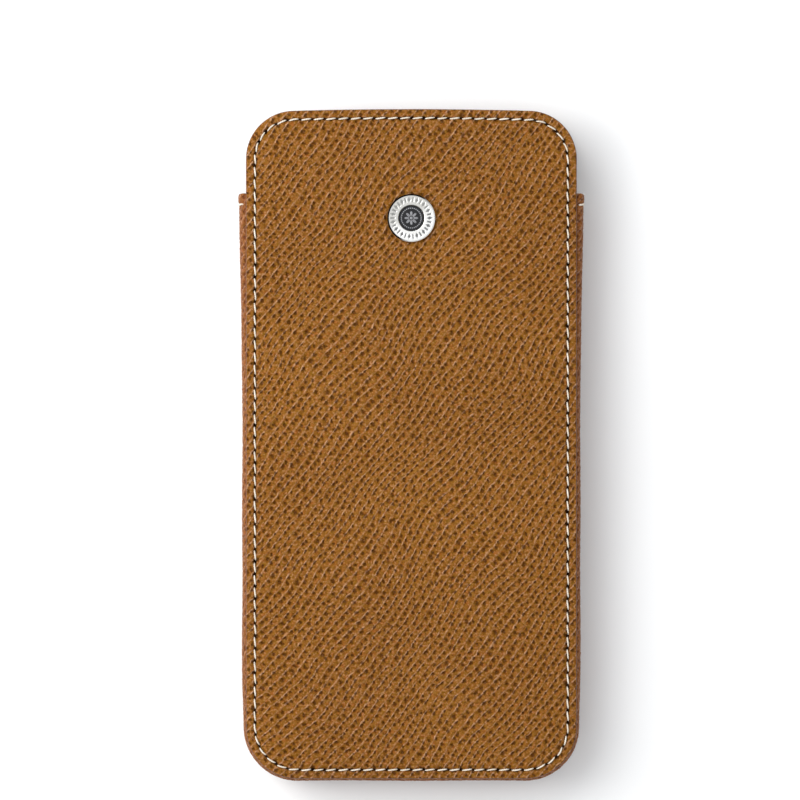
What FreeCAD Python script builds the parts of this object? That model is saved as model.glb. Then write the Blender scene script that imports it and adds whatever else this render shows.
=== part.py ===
"""Leather slip case for a hand-held device, as a parametric FreeCAD document, in millimetres.

The case lies on its back: +Z is up through the front panel, +Y points out of the mouth, and the origin
is on the resting face, under the middle of the case. Two stiffened, lined panels are sewn to one U-shaped
gusset strip that runs down one side, round the bottom and up the other side. A riveted medallion sits
near the mouth.
"""

import FreeCAD
import Part

import math
import os
import re

import Sketcher

Vector = FreeCAD.Vector

# name, value, what it is
SIZES = [
    ("panel_width", 70.8, "width of the front and back panels"),
    ("panel_length", 143.3, "length of the panels, mouth to bottom"),
    ("radius_mouth", 10.3, "corner radius at the mouth end"),
    ("radius_low", 11.0, "corner radius at the closed end"),
    ("crown_radius", 900.0, "radius of the slightly bowed mouth edge"),
    ("case_depth", 12.4, "thickness of the whole case without the medallion"),
    ("leather", 1.2, "panel leather in the middle of the panel"),
    ("board", 0.5, "stiffening board, and the skived gusset flange beside it"),
    ("lining", 0.4, "lining"),
    ("skive_width", 4.0, "width of the thinned margin round a panel"),
    ("skive_depth", 0.45, "how much thinner the panel is at its edge"),
    ("glue_gap", 0.05, "adhesive between the gusset and its lining"),
    ("seam_inset", 1.95, "seam line, in from the panel edge"),
    ("stitch_pitch", 2.65, "hole to hole along the seams"),
    ("stitch_gap", 0.5, "clear space between two stitches"),
    ("thread", 0.45, "needle thread diameter, outside"),
    ("bobbin", 0.3, "bobbin thread diameter, inside"),
    ("seam_channel", 0.34, "radius of the channel that the needle thread lies in"),
    ("bobbin_channel", 0.28, "radius of the channel that the bobbin thread lies in"),
    ("stitch_slant", 6, "degrees that a stitch lies off the seam line, from the slanted awl holes"),
    ("flange", 4.3, "width of the gusset flange under a panel"),
    ("gusset", 0.8, "gusset leather in the web"),
    ("fold_outer", 1.6, "outer radius of the gusset fold"),
    ("fold_inner", 0.9, "inner radius of the gusset fold"),
    ("gusset_drop", 18.0, "mouth edge of the panels down to the top of the gusset"),
    ("bulge_mouth", 1.6, "how far the gusset stands out past the panels at its top"),
    ("bulge_upper", 1.28, "the same, upper_drop below the top of the gusset"),
    ("bulge_side", 0.88, "the same, from side_drop down to side_foot"),
    ("bulge_low", 0.65, "the same, round the corners and the closed end"),
    ("upper_drop", 18.0, "top of the gusset down to the section of bulge_upper"),
    ("side_drop", 40.0, "top of the gusset down to the first section of bulge_side"),
    ("side_foot", 9.0, "start of the lower corner up to the last section of bulge_side"),
    ("hem_fold", 3.2, "depth of the turned-in hem at the top of the gusset"),
    ("hem_seam", 2.4, "hem seam, down from the top of the gusset"),
    ("hem_channel", 0.25, "depth of the channel of the hem seam"),
    ("lining_inset", 1.3, "lining edge, in from the panel edge, beside the gusset"),
    ("board_inset", 4.5, "board edge, in from the panel edge, beside the gusset"),
    ("board_mouth", 0.1, "board edge, in from the panel edge, at the mouth"),
    ("mouth_gap", 0.2, "clearance above the top of the gusset"),
    ("badge_drop", 23.4, "mouth edge down to the medallion's centre"),
    ("badge_width", 10.3, "medallion diameter"),
    ("badge_rise", 0.9, "medallion above the front panel"),
    ("inlay_width", 5.5, "dark disc in the medallion"),
    ("inlay_sink", 0.16, "disc below the ring's top face"),
    ("seat_width", 8.8, "rivet's seat disc under the ring"),
    ("seat_rise", 0.3, "thickness of the rivet's seat disc"),
    ("post_width", 2.4, "rivet post diameter"),
    ("washer_width", 8.0, "clench washer diameter"),
    ("part_gap", 0.05, "radial clearance between the medallion's pieces"),
    ("washer_hole", 8.6, "hole in the board that the washer lies in"),
]

# Expressions over the sheet's cells, used for positions.
HALF_WIDTH = "Sizes.panel_width / 2"
TOP = "(Sizes.panel_length + Sizes.bulge_low) / 2"
BOTTOM = "(Sizes.bulge_low - Sizes.panel_length) / 2"
MIDDLE = "Sizes.case_depth / 2"
GUSSET_TOP = f"({TOP} - Sizes.gusset_drop)"
CORNER_X = f"({HALF_WIDTH} - Sizes.radius_low)"
CORNER_Y = f"({BOTTOM} + Sizes.radius_low)"
WEB_HALF = "(Sizes.case_depth / 2 - Sizes.leather)"
HEM_LINE = f"({GUSSET_TOP} - Sizes.hem_seam)"
BADGE_Y = f"({TOP} - Sizes.badge_drop)"

doc = FreeCAD.newDocument("slip_case")
sheet = doc.addObject("Spreadsheet::Sheet", "Sizes")
for row, (alias, value, meaning) in enumerate(SIZES, 1):
    sheet.set(f"A{row}", alias)
    sheet.set(f"B{row}", str(value))
    sheet.set(f"C{row}", meaning)
    sheet.setAlias(f"B{row}", alias)
doc.recompute()


def number(expression):
    """The value of an expression over the sheet's cells."""
    text = re.sub(r"Sizes\.(\w+)", lambda cell: str(sheet.get(cell[1])), expression)
    return float(FreeCAD.Units.parseQuantity(text).Value)


# ---------------------------------------------------------------- bodies and sketches


def new_body(label):
    body = doc.addObject("PartDesign::Body", label)
    body.Label = label
    return body


def plane_of(body, role):
    return next(item for item in body.Origin.OriginFeatures if item.Role == role)


def new_sketch(body, name, role, shift=("0", "0", "0"), turn=0.0):
    """A sketch on one of the body's own planes, moved in that plane's axes by three expressions."""
    sketch = body.newObject("Sketcher::SketchObject", f"{body.Name}_{name}")
    sketch.AttachmentSupport = [(plane_of(body, role), "")]
    sketch.MapMode = "FlatFace"
    base = Vector(*(number(part) for part in shift))
    sketch.AttachmentOffset = FreeCAD.Placement(base, FreeCAD.Rotation(Vector(0, 0, 1), turn))
    for axis, part in zip("xyz", shift):
        sketch.setExpression(f"AttachmentOffset.Base.{axis}", part)
    return sketch


def drive(sketch, name, kind, refs, expression):
    """Adds a dimension to a sketch and binds it to the sheet."""
    index = sketch.addConstraint(Sketcher.Constraint(kind, *refs, number(expression)))
    sketch.renameConstraint(index, name)
    sketch.setExpression(f"Constraints.{name}", expression)


def arc(centre, radius, start, end):
    circle = Part.Circle(Vector(*centre, 0), Vector(0, 0, 1), radius)
    return Part.ArcOfCircle(circle, start, end)


def line(start, end):
    return Part.LineSegment(Vector(*start, 0), Vector(*end, 0))


def corner_centre(inset):
    """Centre height of a mouth corner's arc, which touches the side and the bowed mouth edge."""
    bow = number("Sizes.crown_radius") - inset
    corner = number("Sizes.radius_mouth") - inset
    across = number(HALF_WIDTH) - inset - corner
    return number(TOP) - inset - bow + math.sqrt((bow - corner) ** 2 - across**2)


def outline(sketch, inset, foot=None):
    """The panel's outline, drawn in by inset. With foot, it ends in a straight edge at that height."""
    drawn = number(inset)
    half = number(HALF_WIDTH) - drawn
    mouth = number("Sizes.radius_mouth") - drawn
    low = number("Sizes.radius_low") - drawn
    bow = number("Sizes.crown_radius") - drawn
    top = number(TOP) - drawn
    centre_y = corner_centre(drawn)
    lean = math.asin((half - mouth) / (bow - mouth))
    upright = math.pi / 2
    if foot is None:
        base = number(BOTTOM) + drawn
        side = base + low
        start = [
            line((low - half, base), (half - low, base)),
            arc((half - low, side), low, -upright, 0),
            line((half, side), (half, centre_y)),
        ]
        end = [
            line((-half, centre_y), (-half, side)),
            arc((low - half, side), low, 2 * upright, 3 * upright),
        ]
    else:
        base = number(foot)
        start = [line((-half, base), (half, base)), line((half, base), (half, centre_y))]
        end = [line((-half, centre_y), (-half, base))]
    head = [
        arc((half - mouth, centre_y), mouth, 0, upright - lean),
        arc((0, top - bow), bow, upright - lean, upright + lean),
        arc((mouth - half, centre_y), mouth, upright + lean, 2 * upright),
    ]
    ids = list(sketch.addGeometry(start + head + end, False))
    right, bow_id, left = ids[len(start) - 1], ids[len(start) + 1], ids[len(start) + 3]
    smooth = set(ids) if foot is None else {right, right + 1, bow_id, bow_id + 1}
    for this, following in zip(ids, ids[1:] + ids[:1]):
        kind = "Tangent" if this in smooth else "Coincident"
        sketch.addConstraint(Sketcher.Constraint(kind, this, 2, following, 1))
    sketch.addConstraint(Sketcher.Constraint("Horizontal", ids[0]))
    sketch.addConstraint(Sketcher.Constraint("Vertical", right))
    sketch.addConstraint(Sketcher.Constraint("Vertical", left))
    sketch.addConstraint(Sketcher.Constraint("PointOnObject", bow_id, 3, -2))
    drive(sketch, "half_right", "DistanceX", (-1, 1, right, 1), f"{HALF_WIDTH} - {inset}")
    drive(sketch, "half_left", "DistanceX", (left, 1, -1, 1), f"{HALF_WIDTH} - {inset}")
    drive(sketch, "mouth_right", "Radius", (right + 1,), f"Sizes.radius_mouth - {inset}")
    drive(sketch, "mouth_left", "Radius", (bow_id + 1,), f"Sizes.radius_mouth - {inset}")
    drive(sketch, "bow", "Radius", (bow_id,), f"Sizes.crown_radius - {inset}")
    drive(sketch, "bow_centre", "DistanceY", (bow_id, 3, -1, 1), f"Sizes.crown_radius - {TOP}")
    if foot is None:
        drive(sketch, "low_right", "Radius", (ids[1],), f"Sizes.radius_low - {inset}")
        drive(sketch, "low_left", "Radius", (ids[-1],), f"Sizes.radius_low - {inset}")
        drive(sketch, "foot", "DistanceY", (ids[0], 1, -1, 1), f"-({BOTTOM}) - {inset}")
    else:
        drive(sketch, "foot", "DistanceY", (-1, 1, ids[0], 1), foot)
    return sketch


def corner_path(sketch, points, radii):
    """A closed outline through points, each of two expressions. radii has a line's None or an arc's radius.

    Arc n runs from point n to the next one, anticlockwise, or clockwise where its radius starts with a minus.
    """
    places = [(number(x), number(y)) for x, y in points]
    shapes = []
    for index, radius in enumerate(radii):
        start, end = places[index], places[(index + 1) % len(places)]
        if radius is None:
            shapes.append(line(start, end))
            continue
        turn = -1.0 if radius.startswith("-") else 1.0
        size = abs(number(radius))
        chord = math.dist(start, end)
        rise = math.sqrt(max(size**2 - chord**2 / 4, 0.0))
        across = ((end[0] - start[0]) / chord, (end[1] - start[1]) / chord)
        centre = (
            (start[0] + end[0]) / 2 - turn * across[1] * rise,
            (start[1] + end[1]) / 2 + turn * across[0] * rise,
        )
        angles = [math.atan2(p[1] - centre[1], p[0] - centre[0]) for p in (start, end)]
        if turn < 0:
            angles.reverse()
        if angles[1] <= angles[0]:
            angles[1] += 2 * math.pi
        shapes.append(arc(centre, size, *angles))
    ids = list(sketch.addGeometry(shapes, False))
    clockwise = [bool(radius) and radius.startswith("-") for radius in radii]
    for index, this in enumerate(ids):
        following = ids[(index + 1) % len(ids)]
        leaves = 1 if clockwise[index] else 2
        enters = 2 if clockwise[(index + 1) % len(ids)] else 1
        sketch.addConstraint(Sketcher.Constraint("Coincident", this, leaves, following, enters))
        first = 2 if clockwise[index] else 1
        drive(sketch, f"x{index}", "DistanceX", (-1, 1, this, first), points[index][0])
        drive(sketch, f"y{index}", "DistanceY", (-1, 1, this, first), points[index][1])
        if radii[index]:
            drive(sketch, f"r{index}", "Radius", (this,), radii[index].lstrip("-"))
    return sketch


def pad(body, name, sketch, length, reverse=False):
    feature = body.newObject("PartDesign::Pad", f"{body.Name}_{name}")
    feature.Profile = sketch
    feature.Reversed = reverse
    feature.setExpression("Length", length)
    return feature


def pocket(body, name, sketch, length, reverse=False):
    """A cut that goes against the sketch's normal, or along it with reverse."""
    feature = body.newObject("PartDesign::Pocket", f"{body.Name}_{name}")
    feature.Profile = sketch
    feature.Reversed = reverse
    feature.setExpression("Length", length)
    return feature


def loft(body, name, sketches, ruled=False):
    feature = body.newObject("PartDesign::AdditiveLoft", f"{body.Name}_{name}")
    feature.Profile = sketches[0]
    feature.Sections = sketches[1:]
    feature.Ruled = ruled
    return feature


def badge_hole(body, name, width):
    """A round hole on the medallion's axis, cut down from the front face to the middle of the case."""
    sketch = new_sketch(body, name, "XY_Plane", ("0", BADGE_Y, "Sizes.case_depth"))
    ring = sketch.addGeometry(Part.Circle(Vector(), Vector(0, 0, 1), number(width) / 2), False)
    sketch.addConstraint(Sketcher.Constraint("Coincident", ring, 3, -1, 1))
    drive(sketch, "width", "Diameter", (ring,), width)
    return pocket(body, f"{name}_cut", sketch, MIDDLE)


def channel(body, name, height, radius):
    """A round-bottomed channel along the seam line, that a row of stitches lies in."""
    path = outline(new_sketch(body, f"{name}_path", "XY_Plane", ("0", "0", height)), "Sizes.seam_inset")
    shift = (f"{BOTTOM} + Sizes.seam_inset", height, f"-{CORNER_X}")
    profile = new_sketch(body, f"{name}_round", "YZ_Plane", shift)
    ring = profile.addGeometry(Part.Circle(Vector(), Vector(0, 0, 1), number(radius)), False)
    profile.addConstraint(Sketcher.Constraint("Coincident", ring, 3, -1, 1))
    drive(profile, "radius", "Radius", (ring,), radius)
    feature = body.newObject("PartDesign::SubtractivePipe", f"{body.Name}_{name}")
    feature.Profile = profile
    feature.Spine = path
    feature.Mode = "Standard"
    return feature


# ---------------------------------------------------------------- panels

SEAM_SURFACE = "Sizes.skive_depth * (1 - Sizes.seam_inset / Sizes.skive_width)"
NEEDLE_DEPTH = f"({SEAM_SURFACE} + 0.25 * Sizes.thread)"
LINING_DEPTH = "(Sizes.leather + Sizes.board + Sizes.lining)"
BOBBIN_DEPTH = f"({LINING_DEPTH} - 0.2 * Sizes.bobbin)"


def panel_leather(label, front):
    """Panel leather: an even edge, then a margin that rises to the full thickness."""
    body = new_body(label)
    inner = "Sizes.case_depth - Sizes.leather" if front else "Sizes.leather"
    shoulder = "Sizes.case_depth - Sizes.skive_depth" if front else "Sizes.skive_depth"
    face = "Sizes.case_depth" if front else "0"
    edge = outline(new_sketch(body, "edge", "XY_Plane", ("0", "0", inner)), "0")
    pad(body, "even", edge, "Sizes.leather - Sizes.skive_depth", not front)
    wide = outline(new_sketch(body, "wide", "XY_Plane", ("0", "0", shoulder)), "0")
    narrow = outline(new_sketch(body, "narrow", "XY_Plane", ("0", "0", face)), "Sizes.skive_width")
    loft(body, "margin", [wide, narrow], ruled=True)
    seam = f"Sizes.case_depth - {NEEDLE_DEPTH}" if front else NEEDLE_DEPTH
    channel(body, "seam", seam, "Sizes.seam_channel")
    if front:
        badge_hole(body, "post", "Sizes.post_width + 2 * Sizes.part_gap")
    return body


def inner_sheet(label, base, thickness, side_inset, mouth_inset):
    """A sheet inside the panel: narrow beside the gusset, wide in the free part above it."""
    body = new_body(label)
    whole = outline(new_sketch(body, "whole", "XY_Plane", ("0", "0", base)), side_inset)
    pad(body, "whole_pad", whole, thickness)
    head = new_sketch(body, "head", "XY_Plane", ("0", "0", base))
    pad(body, "head_pad", outline(head, mouth_inset, f"{GUSSET_TOP} + Sizes.mouth_gap"), thickness)
    return body


def stiffening_board(label, front):
    base = "Sizes.case_depth - Sizes.leather - Sizes.board" if front else "Sizes.leather"
    body = inner_sheet(label, base, "Sizes.board", "Sizes.board_inset", "Sizes.board_mouth")
    if front:
        badge_hole(body, "washer", "Sizes.washer_hole")
    return body


def panel_lining(label, front):
    base = f"Sizes.case_depth - {LINING_DEPTH}" if front else "Sizes.leather + Sizes.board"
    body = inner_sheet(label, base, "Sizes.lining", "Sizes.lining_inset", "0")
    seam = f"Sizes.case_depth - {BOBBIN_DEPTH}" if front else BOBBIN_DEPTH
    channel(body, "seam", seam, "Sizes.bobbin_channel")
    return body


# ---------------------------------------------------------------- gusset

# Sections are drawn from the bottom corner's axis outwards, and from the case's mid-plane up and down.
SIDE_START = f"({CORNER_Y} + Sizes.side_foot)"
SIDE_END = f"({GUSSET_TOP} - Sizes.side_drop)"
FLARE = [
    (SIDE_END, "Sizes.bulge_side"),
    (f"({GUSSET_TOP} - Sizes.upper_drop)", "Sizes.bulge_upper"),
    (GUSSET_TOP, "Sizes.bulge_mouth"),
]


def leather_section(sketch, bulge):
    """The folded gusset leather: a web and two thinner flanges that point inwards, under the panels."""
    web = f"Sizes.radius_low + {bulge}"
    inner = f"{web} - Sizes.gusset"
    tip = "Sizes.radius_low - Sizes.flange"
    under = f"{WEB_HALF} - Sizes.board"
    outer_start = f"{web} - Sizes.fold_outer"
    inner_start = f"{inner} - Sizes.fold_inner"
    outer_end = f"{WEB_HALF} - Sizes.fold_outer"
    inner_end = f"{under} - Sizes.fold_inner"
    points = [
        (tip, f"-{WEB_HALF}"),
        (outer_start, f"-{WEB_HALF}"),
        (web, f"-({outer_end})"),
        (web, outer_end),
        (outer_start, WEB_HALF),
        (tip, WEB_HALF),
        (tip, under),
        (inner_start, under),
        (inner, inner_end),
        (inner, f"-({inner_end})"),
        (inner_start, f"-({under})"),
        (tip, f"-({under})"),
    ]
    fold, hollow = "Sizes.fold_outer", "-Sizes.fold_inner"
    radii = [None, fold, None, fold, None, None, None, hollow, None, hollow, None, None]
    return corner_path(sketch, points, radii)


def lining_section(sketch, bulge):
    """The gusset lining: a strip behind the web, between the two folds."""
    outer = f"Sizes.radius_low + {bulge} - Sizes.gusset - Sizes.glue_gap"
    inner = f"Sizes.radius_low + {bulge} - Sizes.gusset - Sizes.lining"
    half = f"{WEB_HALF} - Sizes.board - Sizes.fold_inner"
    points = [(inner, f"-({half})"), (outer, f"-({half})"), (outer, half), (inner, half)]
    return corner_path(sketch, points, [None] * len(points))


def gusset_strip(body, section):
    """Carries a section up one side, round the corner and half along the bottom, and mirrors it."""

    def across(name, height, bulge):
        shift = (CORNER_X, MIDDLE, f"-({height})")
        return section(new_sketch(body, name, "XZ_Plane", shift), bulge)

    foot = [across("foot0", CORNER_Y, "Sizes.bulge_low"), across("foot1", SIDE_START, "Sizes.bulge_side")]
    low = loft(body, "foot", foot)
    straight = across("straight", SIDE_START, "Sizes.bulge_side")
    side = pad(body, "side", straight, f"{SIDE_END} - {SIDE_START}", reverse=True)
    flare = [across(f"flare{i}", *station) for i, station in enumerate(FLARE)]
    top = loft(body, "flare", flare)
    turn = across("turn", CORNER_Y, "Sizes.bulge_low")
    corner = body.newObject("PartDesign::Revolution", f"{body.Name}_corner")
    corner.Profile = turn
    corner.ReferenceAxis = (turn, ["V_Axis"])
    corner.Angle = 90.0
    corner.Reversed = True
    shift = (CORNER_Y, MIDDLE, "0")
    along = section(new_sketch(body, "along", "YZ_Plane", shift, 180.0), "Sizes.bulge_low")
    bottom = pad(body, "bottom", along, CORNER_X)
    return [low, side, top, corner, bottom]


def mirror(body, features):
    mirrored = body.newObject("PartDesign::Mirrored", f"{body.Name}_both")
    mirrored.Originals = features
    mirrored.MirrorPlane = (plane_of(body, "YZ_Plane"), [""])
    body.Tip = mirrored
    return mirrored


def gusset_leather():
    """The gusset strip, with the hem turned in at each end and a channel for the hem stitches."""
    body = new_body("gusset_leather")
    features = gusset_strip(body, leather_section)
    half = f"{WEB_HALF} - Sizes.board - Sizes.fold_inner"
    inner = "Sizes.radius_low + Sizes.bulge_mouth - Sizes.gusset - Sizes.lining"
    hem = new_sketch(body, "hem", "XZ_Plane", (CORNER_X, MIDDLE, f"-({GUSSET_TOP})"))
    outer = f"{inner} + Sizes.lining + 0.25 * Sizes.gusset"
    points = [(inner, f"-({half})"), (outer, f"-({half})"), (outer, half), (inner, half)]
    corner_path(hem, points, [None] * len(points))
    features.append(pad(body, "hem_pad", hem, "Sizes.hem_fold"))
    shift = (CORNER_X, MIDDLE, f"-({HEM_LINE} + Sizes.seam_channel)")
    cut = new_sketch(body, "hem_seam", "XZ_Plane", shift)
    web = "Sizes.radius_low + Sizes.bulge_mouth"
    start = f"{web} - Sizes.fold_outer"
    end = f"{WEB_HALF} - Sizes.fold_outer"
    clear = f"{WEB_HALF} + 1"
    bed = "Sizes.fold_outer - Sizes.hem_channel"
    points = [
        (start, f"-({end} + {bed})"),
        (f"{web} - Sizes.hem_channel", f"-({end})"),
        (f"{web} - Sizes.hem_channel", end),
        (start, f"{end} + {bed}"),
        (start, clear),
        (f"{web} + 1", clear),
        (f"{web} + 1", f"-({clear})"),
        (start, f"-({clear})"),
    ]
    corner_path(cut, points, [bed, None, bed, None, None, None, None, None])
    features.append(pocket(body, "hem_seam_cut", cut, "2 * Sizes.seam_channel", reverse=True))
    mirror(body, features)
    return body


def gusset_lining():
    """The gusset's lining, which stops under the turned hem."""
    body = new_body("gusset_lining")
    features = gusset_strip(body, lining_section)
    end = new_sketch(body, "end", "XZ_Plane", (CORNER_X, MIDDLE, f"-({GUSSET_TOP} + 1)"))
    outer = "Sizes.radius_low + Sizes.bulge_mouth"
    inner = "Sizes.radius_low - Sizes.flange"
    points = [(inner, f"-{WEB_HALF}"), (outer, f"-{WEB_HALF}"), (outer, WEB_HALF), (inner, WEB_HALF)]
    corner_path(end, points, [None] * len(points))
    features.append(pocket(body, "end_cut", end, "Sizes.hem_fold + 1 + Sizes.glue_gap", reverse=True))
    mirror(body, features)
    return body


# ---------------------------------------------------------------- medallion


def turned(label, profile):
    """A piece turned about the medallion's axis; profile gives (radius, height above the front face)."""
    body = new_body(label)
    shift = ("0", "Sizes.case_depth", f"-({BADGE_Y})")
    sketch = new_sketch(body, "profile", "XZ_Plane", shift)
    corner_path(sketch, profile, [None] * len(profile))
    feature = body.newObject("PartDesign::Revolution", f"{label}_turn")
    feature.Profile = sketch
    feature.ReferenceAxis = (sketch, ["V_Axis"])
    feature.Angle = 360.0
    return body


def medallion_ring():
    outer = "Sizes.badge_width / 2"
    hole = "Sizes.inlay_width / 2 + Sizes.part_gap"
    seat = "Sizes.seat_width / 2 + Sizes.part_gap"
    round_off = "0.4 * Sizes.badge_rise"
    profile = [
        (seat, "0"),
        (outer, "0"),
        (outer, f"Sizes.badge_rise - {round_off}"),
        (f"{outer} - {round_off}", "Sizes.badge_rise"),
        (hole, "Sizes.badge_rise"),
        (hole, "Sizes.seat_rise"),
        (seat, "Sizes.seat_rise"),
    ]
    return turned("medallion_ring", profile)


def medallion_rivet():
    post = "Sizes.post_width / 2"
    depth = "-(Sizes.leather + Sizes.board)"
    profile = [
        ("0", depth),
        (post, depth),
        (post, "0"),
        ("Sizes.seat_width / 2", "0"),
        ("Sizes.seat_width / 2", "Sizes.seat_rise"),
        ("0", "Sizes.seat_rise"),
    ]
    return turned("medallion_rivet", profile)


def medallion_inlay():
    half = "Sizes.inlay_width / 2"
    top = "Sizes.badge_rise - Sizes.inlay_sink"
    profile = [("0", "Sizes.seat_rise"), (half, "Sizes.seat_rise"), (half, top), ("0", top)]
    return turned("medallion_inlay", profile)


def medallion_washer():
    hole = "Sizes.post_width / 2 + Sizes.part_gap"
    outer = "Sizes.washer_width / 2"
    low, high = "-(Sizes.leather + Sizes.board)", "-Sizes.leather"
    return turned("medallion_washer", [(hole, low), (outer, low), (outer, high), (hole, high)])


# ---------------------------------------------------------------- thread


def stitch(length, width):
    """One stitch: a rod with round ends, its middle at the origin and its length along X."""
    end, radius = length / 2, width / 2
    inset = radius * (1 - math.sqrt(0.5))
    rise = radius * math.sqrt(0.5)
    points = [Vector(-end, 0), Vector(inset - end, rise), Vector(radius - end, radius)]
    facing = [Vector(-point.x, point.y) for point in reversed(points)]
    edges = [
        Part.Arc(*points),
        Part.LineSegment(points[-1], facing[0]),
        Part.Arc(*facing),
        Part.LineSegment(facing[-1], points[0]),
    ]
    section = Part.Face(Part.Wire([edge.toShape() for edge in edges]))
    return section.revolve(Vector(), Vector(1, 0, 0), 360)


def placed(shape, place, axis, angle):
    shape.Placement = FreeCAD.Placement(place, FreeCAD.Rotation(axis, angle))
    return shape


def seam_wire():
    """The seam line as a wire at height 0, which starts at the middle of the closed end."""
    inset = number("Sizes.seam_inset")
    half = number(HALF_WIDTH) - inset
    mouth, low = number("Sizes.radius_mouth") - inset, number("Sizes.radius_low") - inset
    bow = number("Sizes.crown_radius") - inset
    top, base = number(TOP) - inset, number(BOTTOM) + inset
    centre_y = corner_centre(inset)
    lean = math.asin((half - mouth) / (bow - mouth))
    upright = math.pi / 2
    pieces = [
        line((0, base), (half - low, base)),
        arc((half - low, base + low), low, -upright, 0),
        line((half, base + low), (half, centre_y)),
        arc((half - mouth, centre_y), mouth, 0, upright - lean),
        arc((0, top - bow), bow, upright - lean, upright + lean),
        arc((mouth - half, centre_y), mouth, upright + lean, 2 * upright),
        line((-half, centre_y), (-half, base + low)),
        arc((low - half, base + low), low, 2 * upright, 3 * upright),
        line((low - half, base), (0, base)),
    ]
    return Part.Wire([piece.toShape() for piece in pieces])


def seam_thread(label, height, width):
    """The stitches on one side of a seam, evenly spaced round the whole panel."""
    wire = seam_wire()
    count = round(wire.Length / number("Sizes.stitch_pitch"))
    length = wire.Length / count - number("Sizes.stitch_gap")
    slant = number("Sizes.stitch_slant")
    ends = wire.discretize(2 * count + 1)
    rods = []
    for index in range(0, 2 * count, 2):
        before, middle, after = ends[index : index + 3]
        run = after - before
        heading = math.degrees(math.atan2(run.y, run.x))
        place = (before + after + middle * 2) / 4 + Vector(0, 0, height)
        rods.append(placed(stitch(length, width), place, Vector(0, 0, 1), heading + slant))
    return solid_group(label, rods)


WEB_STITCHES = (-1, 0, 1)
BEND_START, BEND_SWEEP = 12, 66  # degrees of the fold that a bent stitch leaves free, and that it covers
TOUCH = 0.01  # clear space between a hem stitch and the leather under it


def hem_thread(label, side):
    """The stitches across the top of the gusset: on the web, over each fold, and on the inside."""
    width, bobbin = number("Sizes.thread"), number("Sizes.bobbin")
    fold = number("Sizes.fold_outer")
    sunk = number("Sizes.hem_channel")
    web = number(f"{HALF_WIDTH} + Sizes.bulge_mouth")
    fold_z = number(WEB_HALF) - fold
    middle, y = number(MIDDLE), number(HEM_LINE)
    pitch = 2 * fold_z / len(WEB_STITCHES)
    length = pitch - number("Sizes.stitch_gap")
    outside = web - sunk + width / 2 + TOUCH
    inside = web - number("Sizes.gusset + Sizes.lining") - bobbin / 2 - TOUCH
    across = Vector(0, 1, 0)
    rods = []
    for step in WEB_STITCHES:
        for x, thick in ((outside, width), (inside, bobbin)):
            rods.append(placed(stitch(length, thick), Vector(x, y, middle + step * pitch), across, 90))
    for up in (-1, 1):
        centre = Vector(web - fold, y, middle + up * fold_z)
        reach = Vector(fold - sunk + width / 2 + TOUCH, 0, 0)
        section = Part.Face(Part.Wire([Part.Circle(centre + reach, Vector(0, 0, 1), width / 2).toShape()]))
        section.rotate(centre, across, -BEND_START * up)
        rods.append(section.revolve(centre, across, -BEND_SWEEP * up))
    if side < 0:
        rods = [rod.mirror(Vector(), Vector(1, 0, 0)) for rod in rods]
    return solid_group(label, rods)


def solid_group(label, solids):
    """A group of separate solids as one object."""
    piece = doc.addObject("Part::Feature", label)
    piece.Label = label
    piece.Shape = Part.makeCompound(solids)
    return piece


# ---------------------------------------------------------------- the assembly

FRONT_NEEDLE = number(f"Sizes.case_depth - {NEEDLE_DEPTH}")
FRONT_BOBBIN = number(f"Sizes.case_depth - {BOBBIN_DEPTH}")
BACK_NEEDLE = number(NEEDLE_DEPTH)
BACK_BOBBIN = number(BOBBIN_DEPTH)

pieces = [
    panel_leather("front_leather", True),
    stiffening_board("front_board", True),
    panel_lining("front_lining", True),
    panel_leather("back_leather", False),
    stiffening_board("back_board", False),
    panel_lining("back_lining", False),
    gusset_leather(),
    gusset_lining(),
    medallion_ring(),
    medallion_inlay(),
    medallion_rivet(),
    medallion_washer(),
    seam_thread("front_needle_thread", FRONT_NEEDLE, number("Sizes.thread")),
    seam_thread("front_bobbin_thread", FRONT_BOBBIN, number("Sizes.bobbin")),
    seam_thread("back_needle_thread", BACK_NEEDLE, number("Sizes.thread")),
    seam_thread("back_bobbin_thread", BACK_BOBBIN, number("Sizes.bobbin")),
    hem_thread("right_hem_thread", 1),
    hem_thread("left_hem_thread", -1),
]
doc.recompute()

for item in doc.Objects:
    if "Invalid" in item.State or "Error" in item.State:
        raise RuntimeError(f"{item.Name} failed: {item.State}")
for piece in pieces:
    if piece.Shape.isNull() or not piece.Shape.isValid() or not piece.Shape.Solids:
        raise RuntimeError(f"{piece.Label} has no valid solid")

os.makedirs("parts", exist_ok=True)
for piece in pieces:
    piece.Shape.exportStep(f"parts/{piece.Label}.step")
    box = piece.Shape.BoundBox
    print(
        f"{piece.Label}: {len(piece.Shape.Solids)} solids, {piece.Shape.Volume:.1f} mm3, "
        f"x {box.XMin:.2f} {box.XMax:.2f}, y {box.YMin:.2f} {box.YMax:.2f}, z {box.ZMin:.2f} {box.ZMax:.2f}"
    )
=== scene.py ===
"""Looks of the leather slip case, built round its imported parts.

The case lies on its back panel: +Z is up through the front panel and +Y points out of the
mouth. Meshes are worked out in mm and scaled to metres as they are made.
"""

import math

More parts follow.
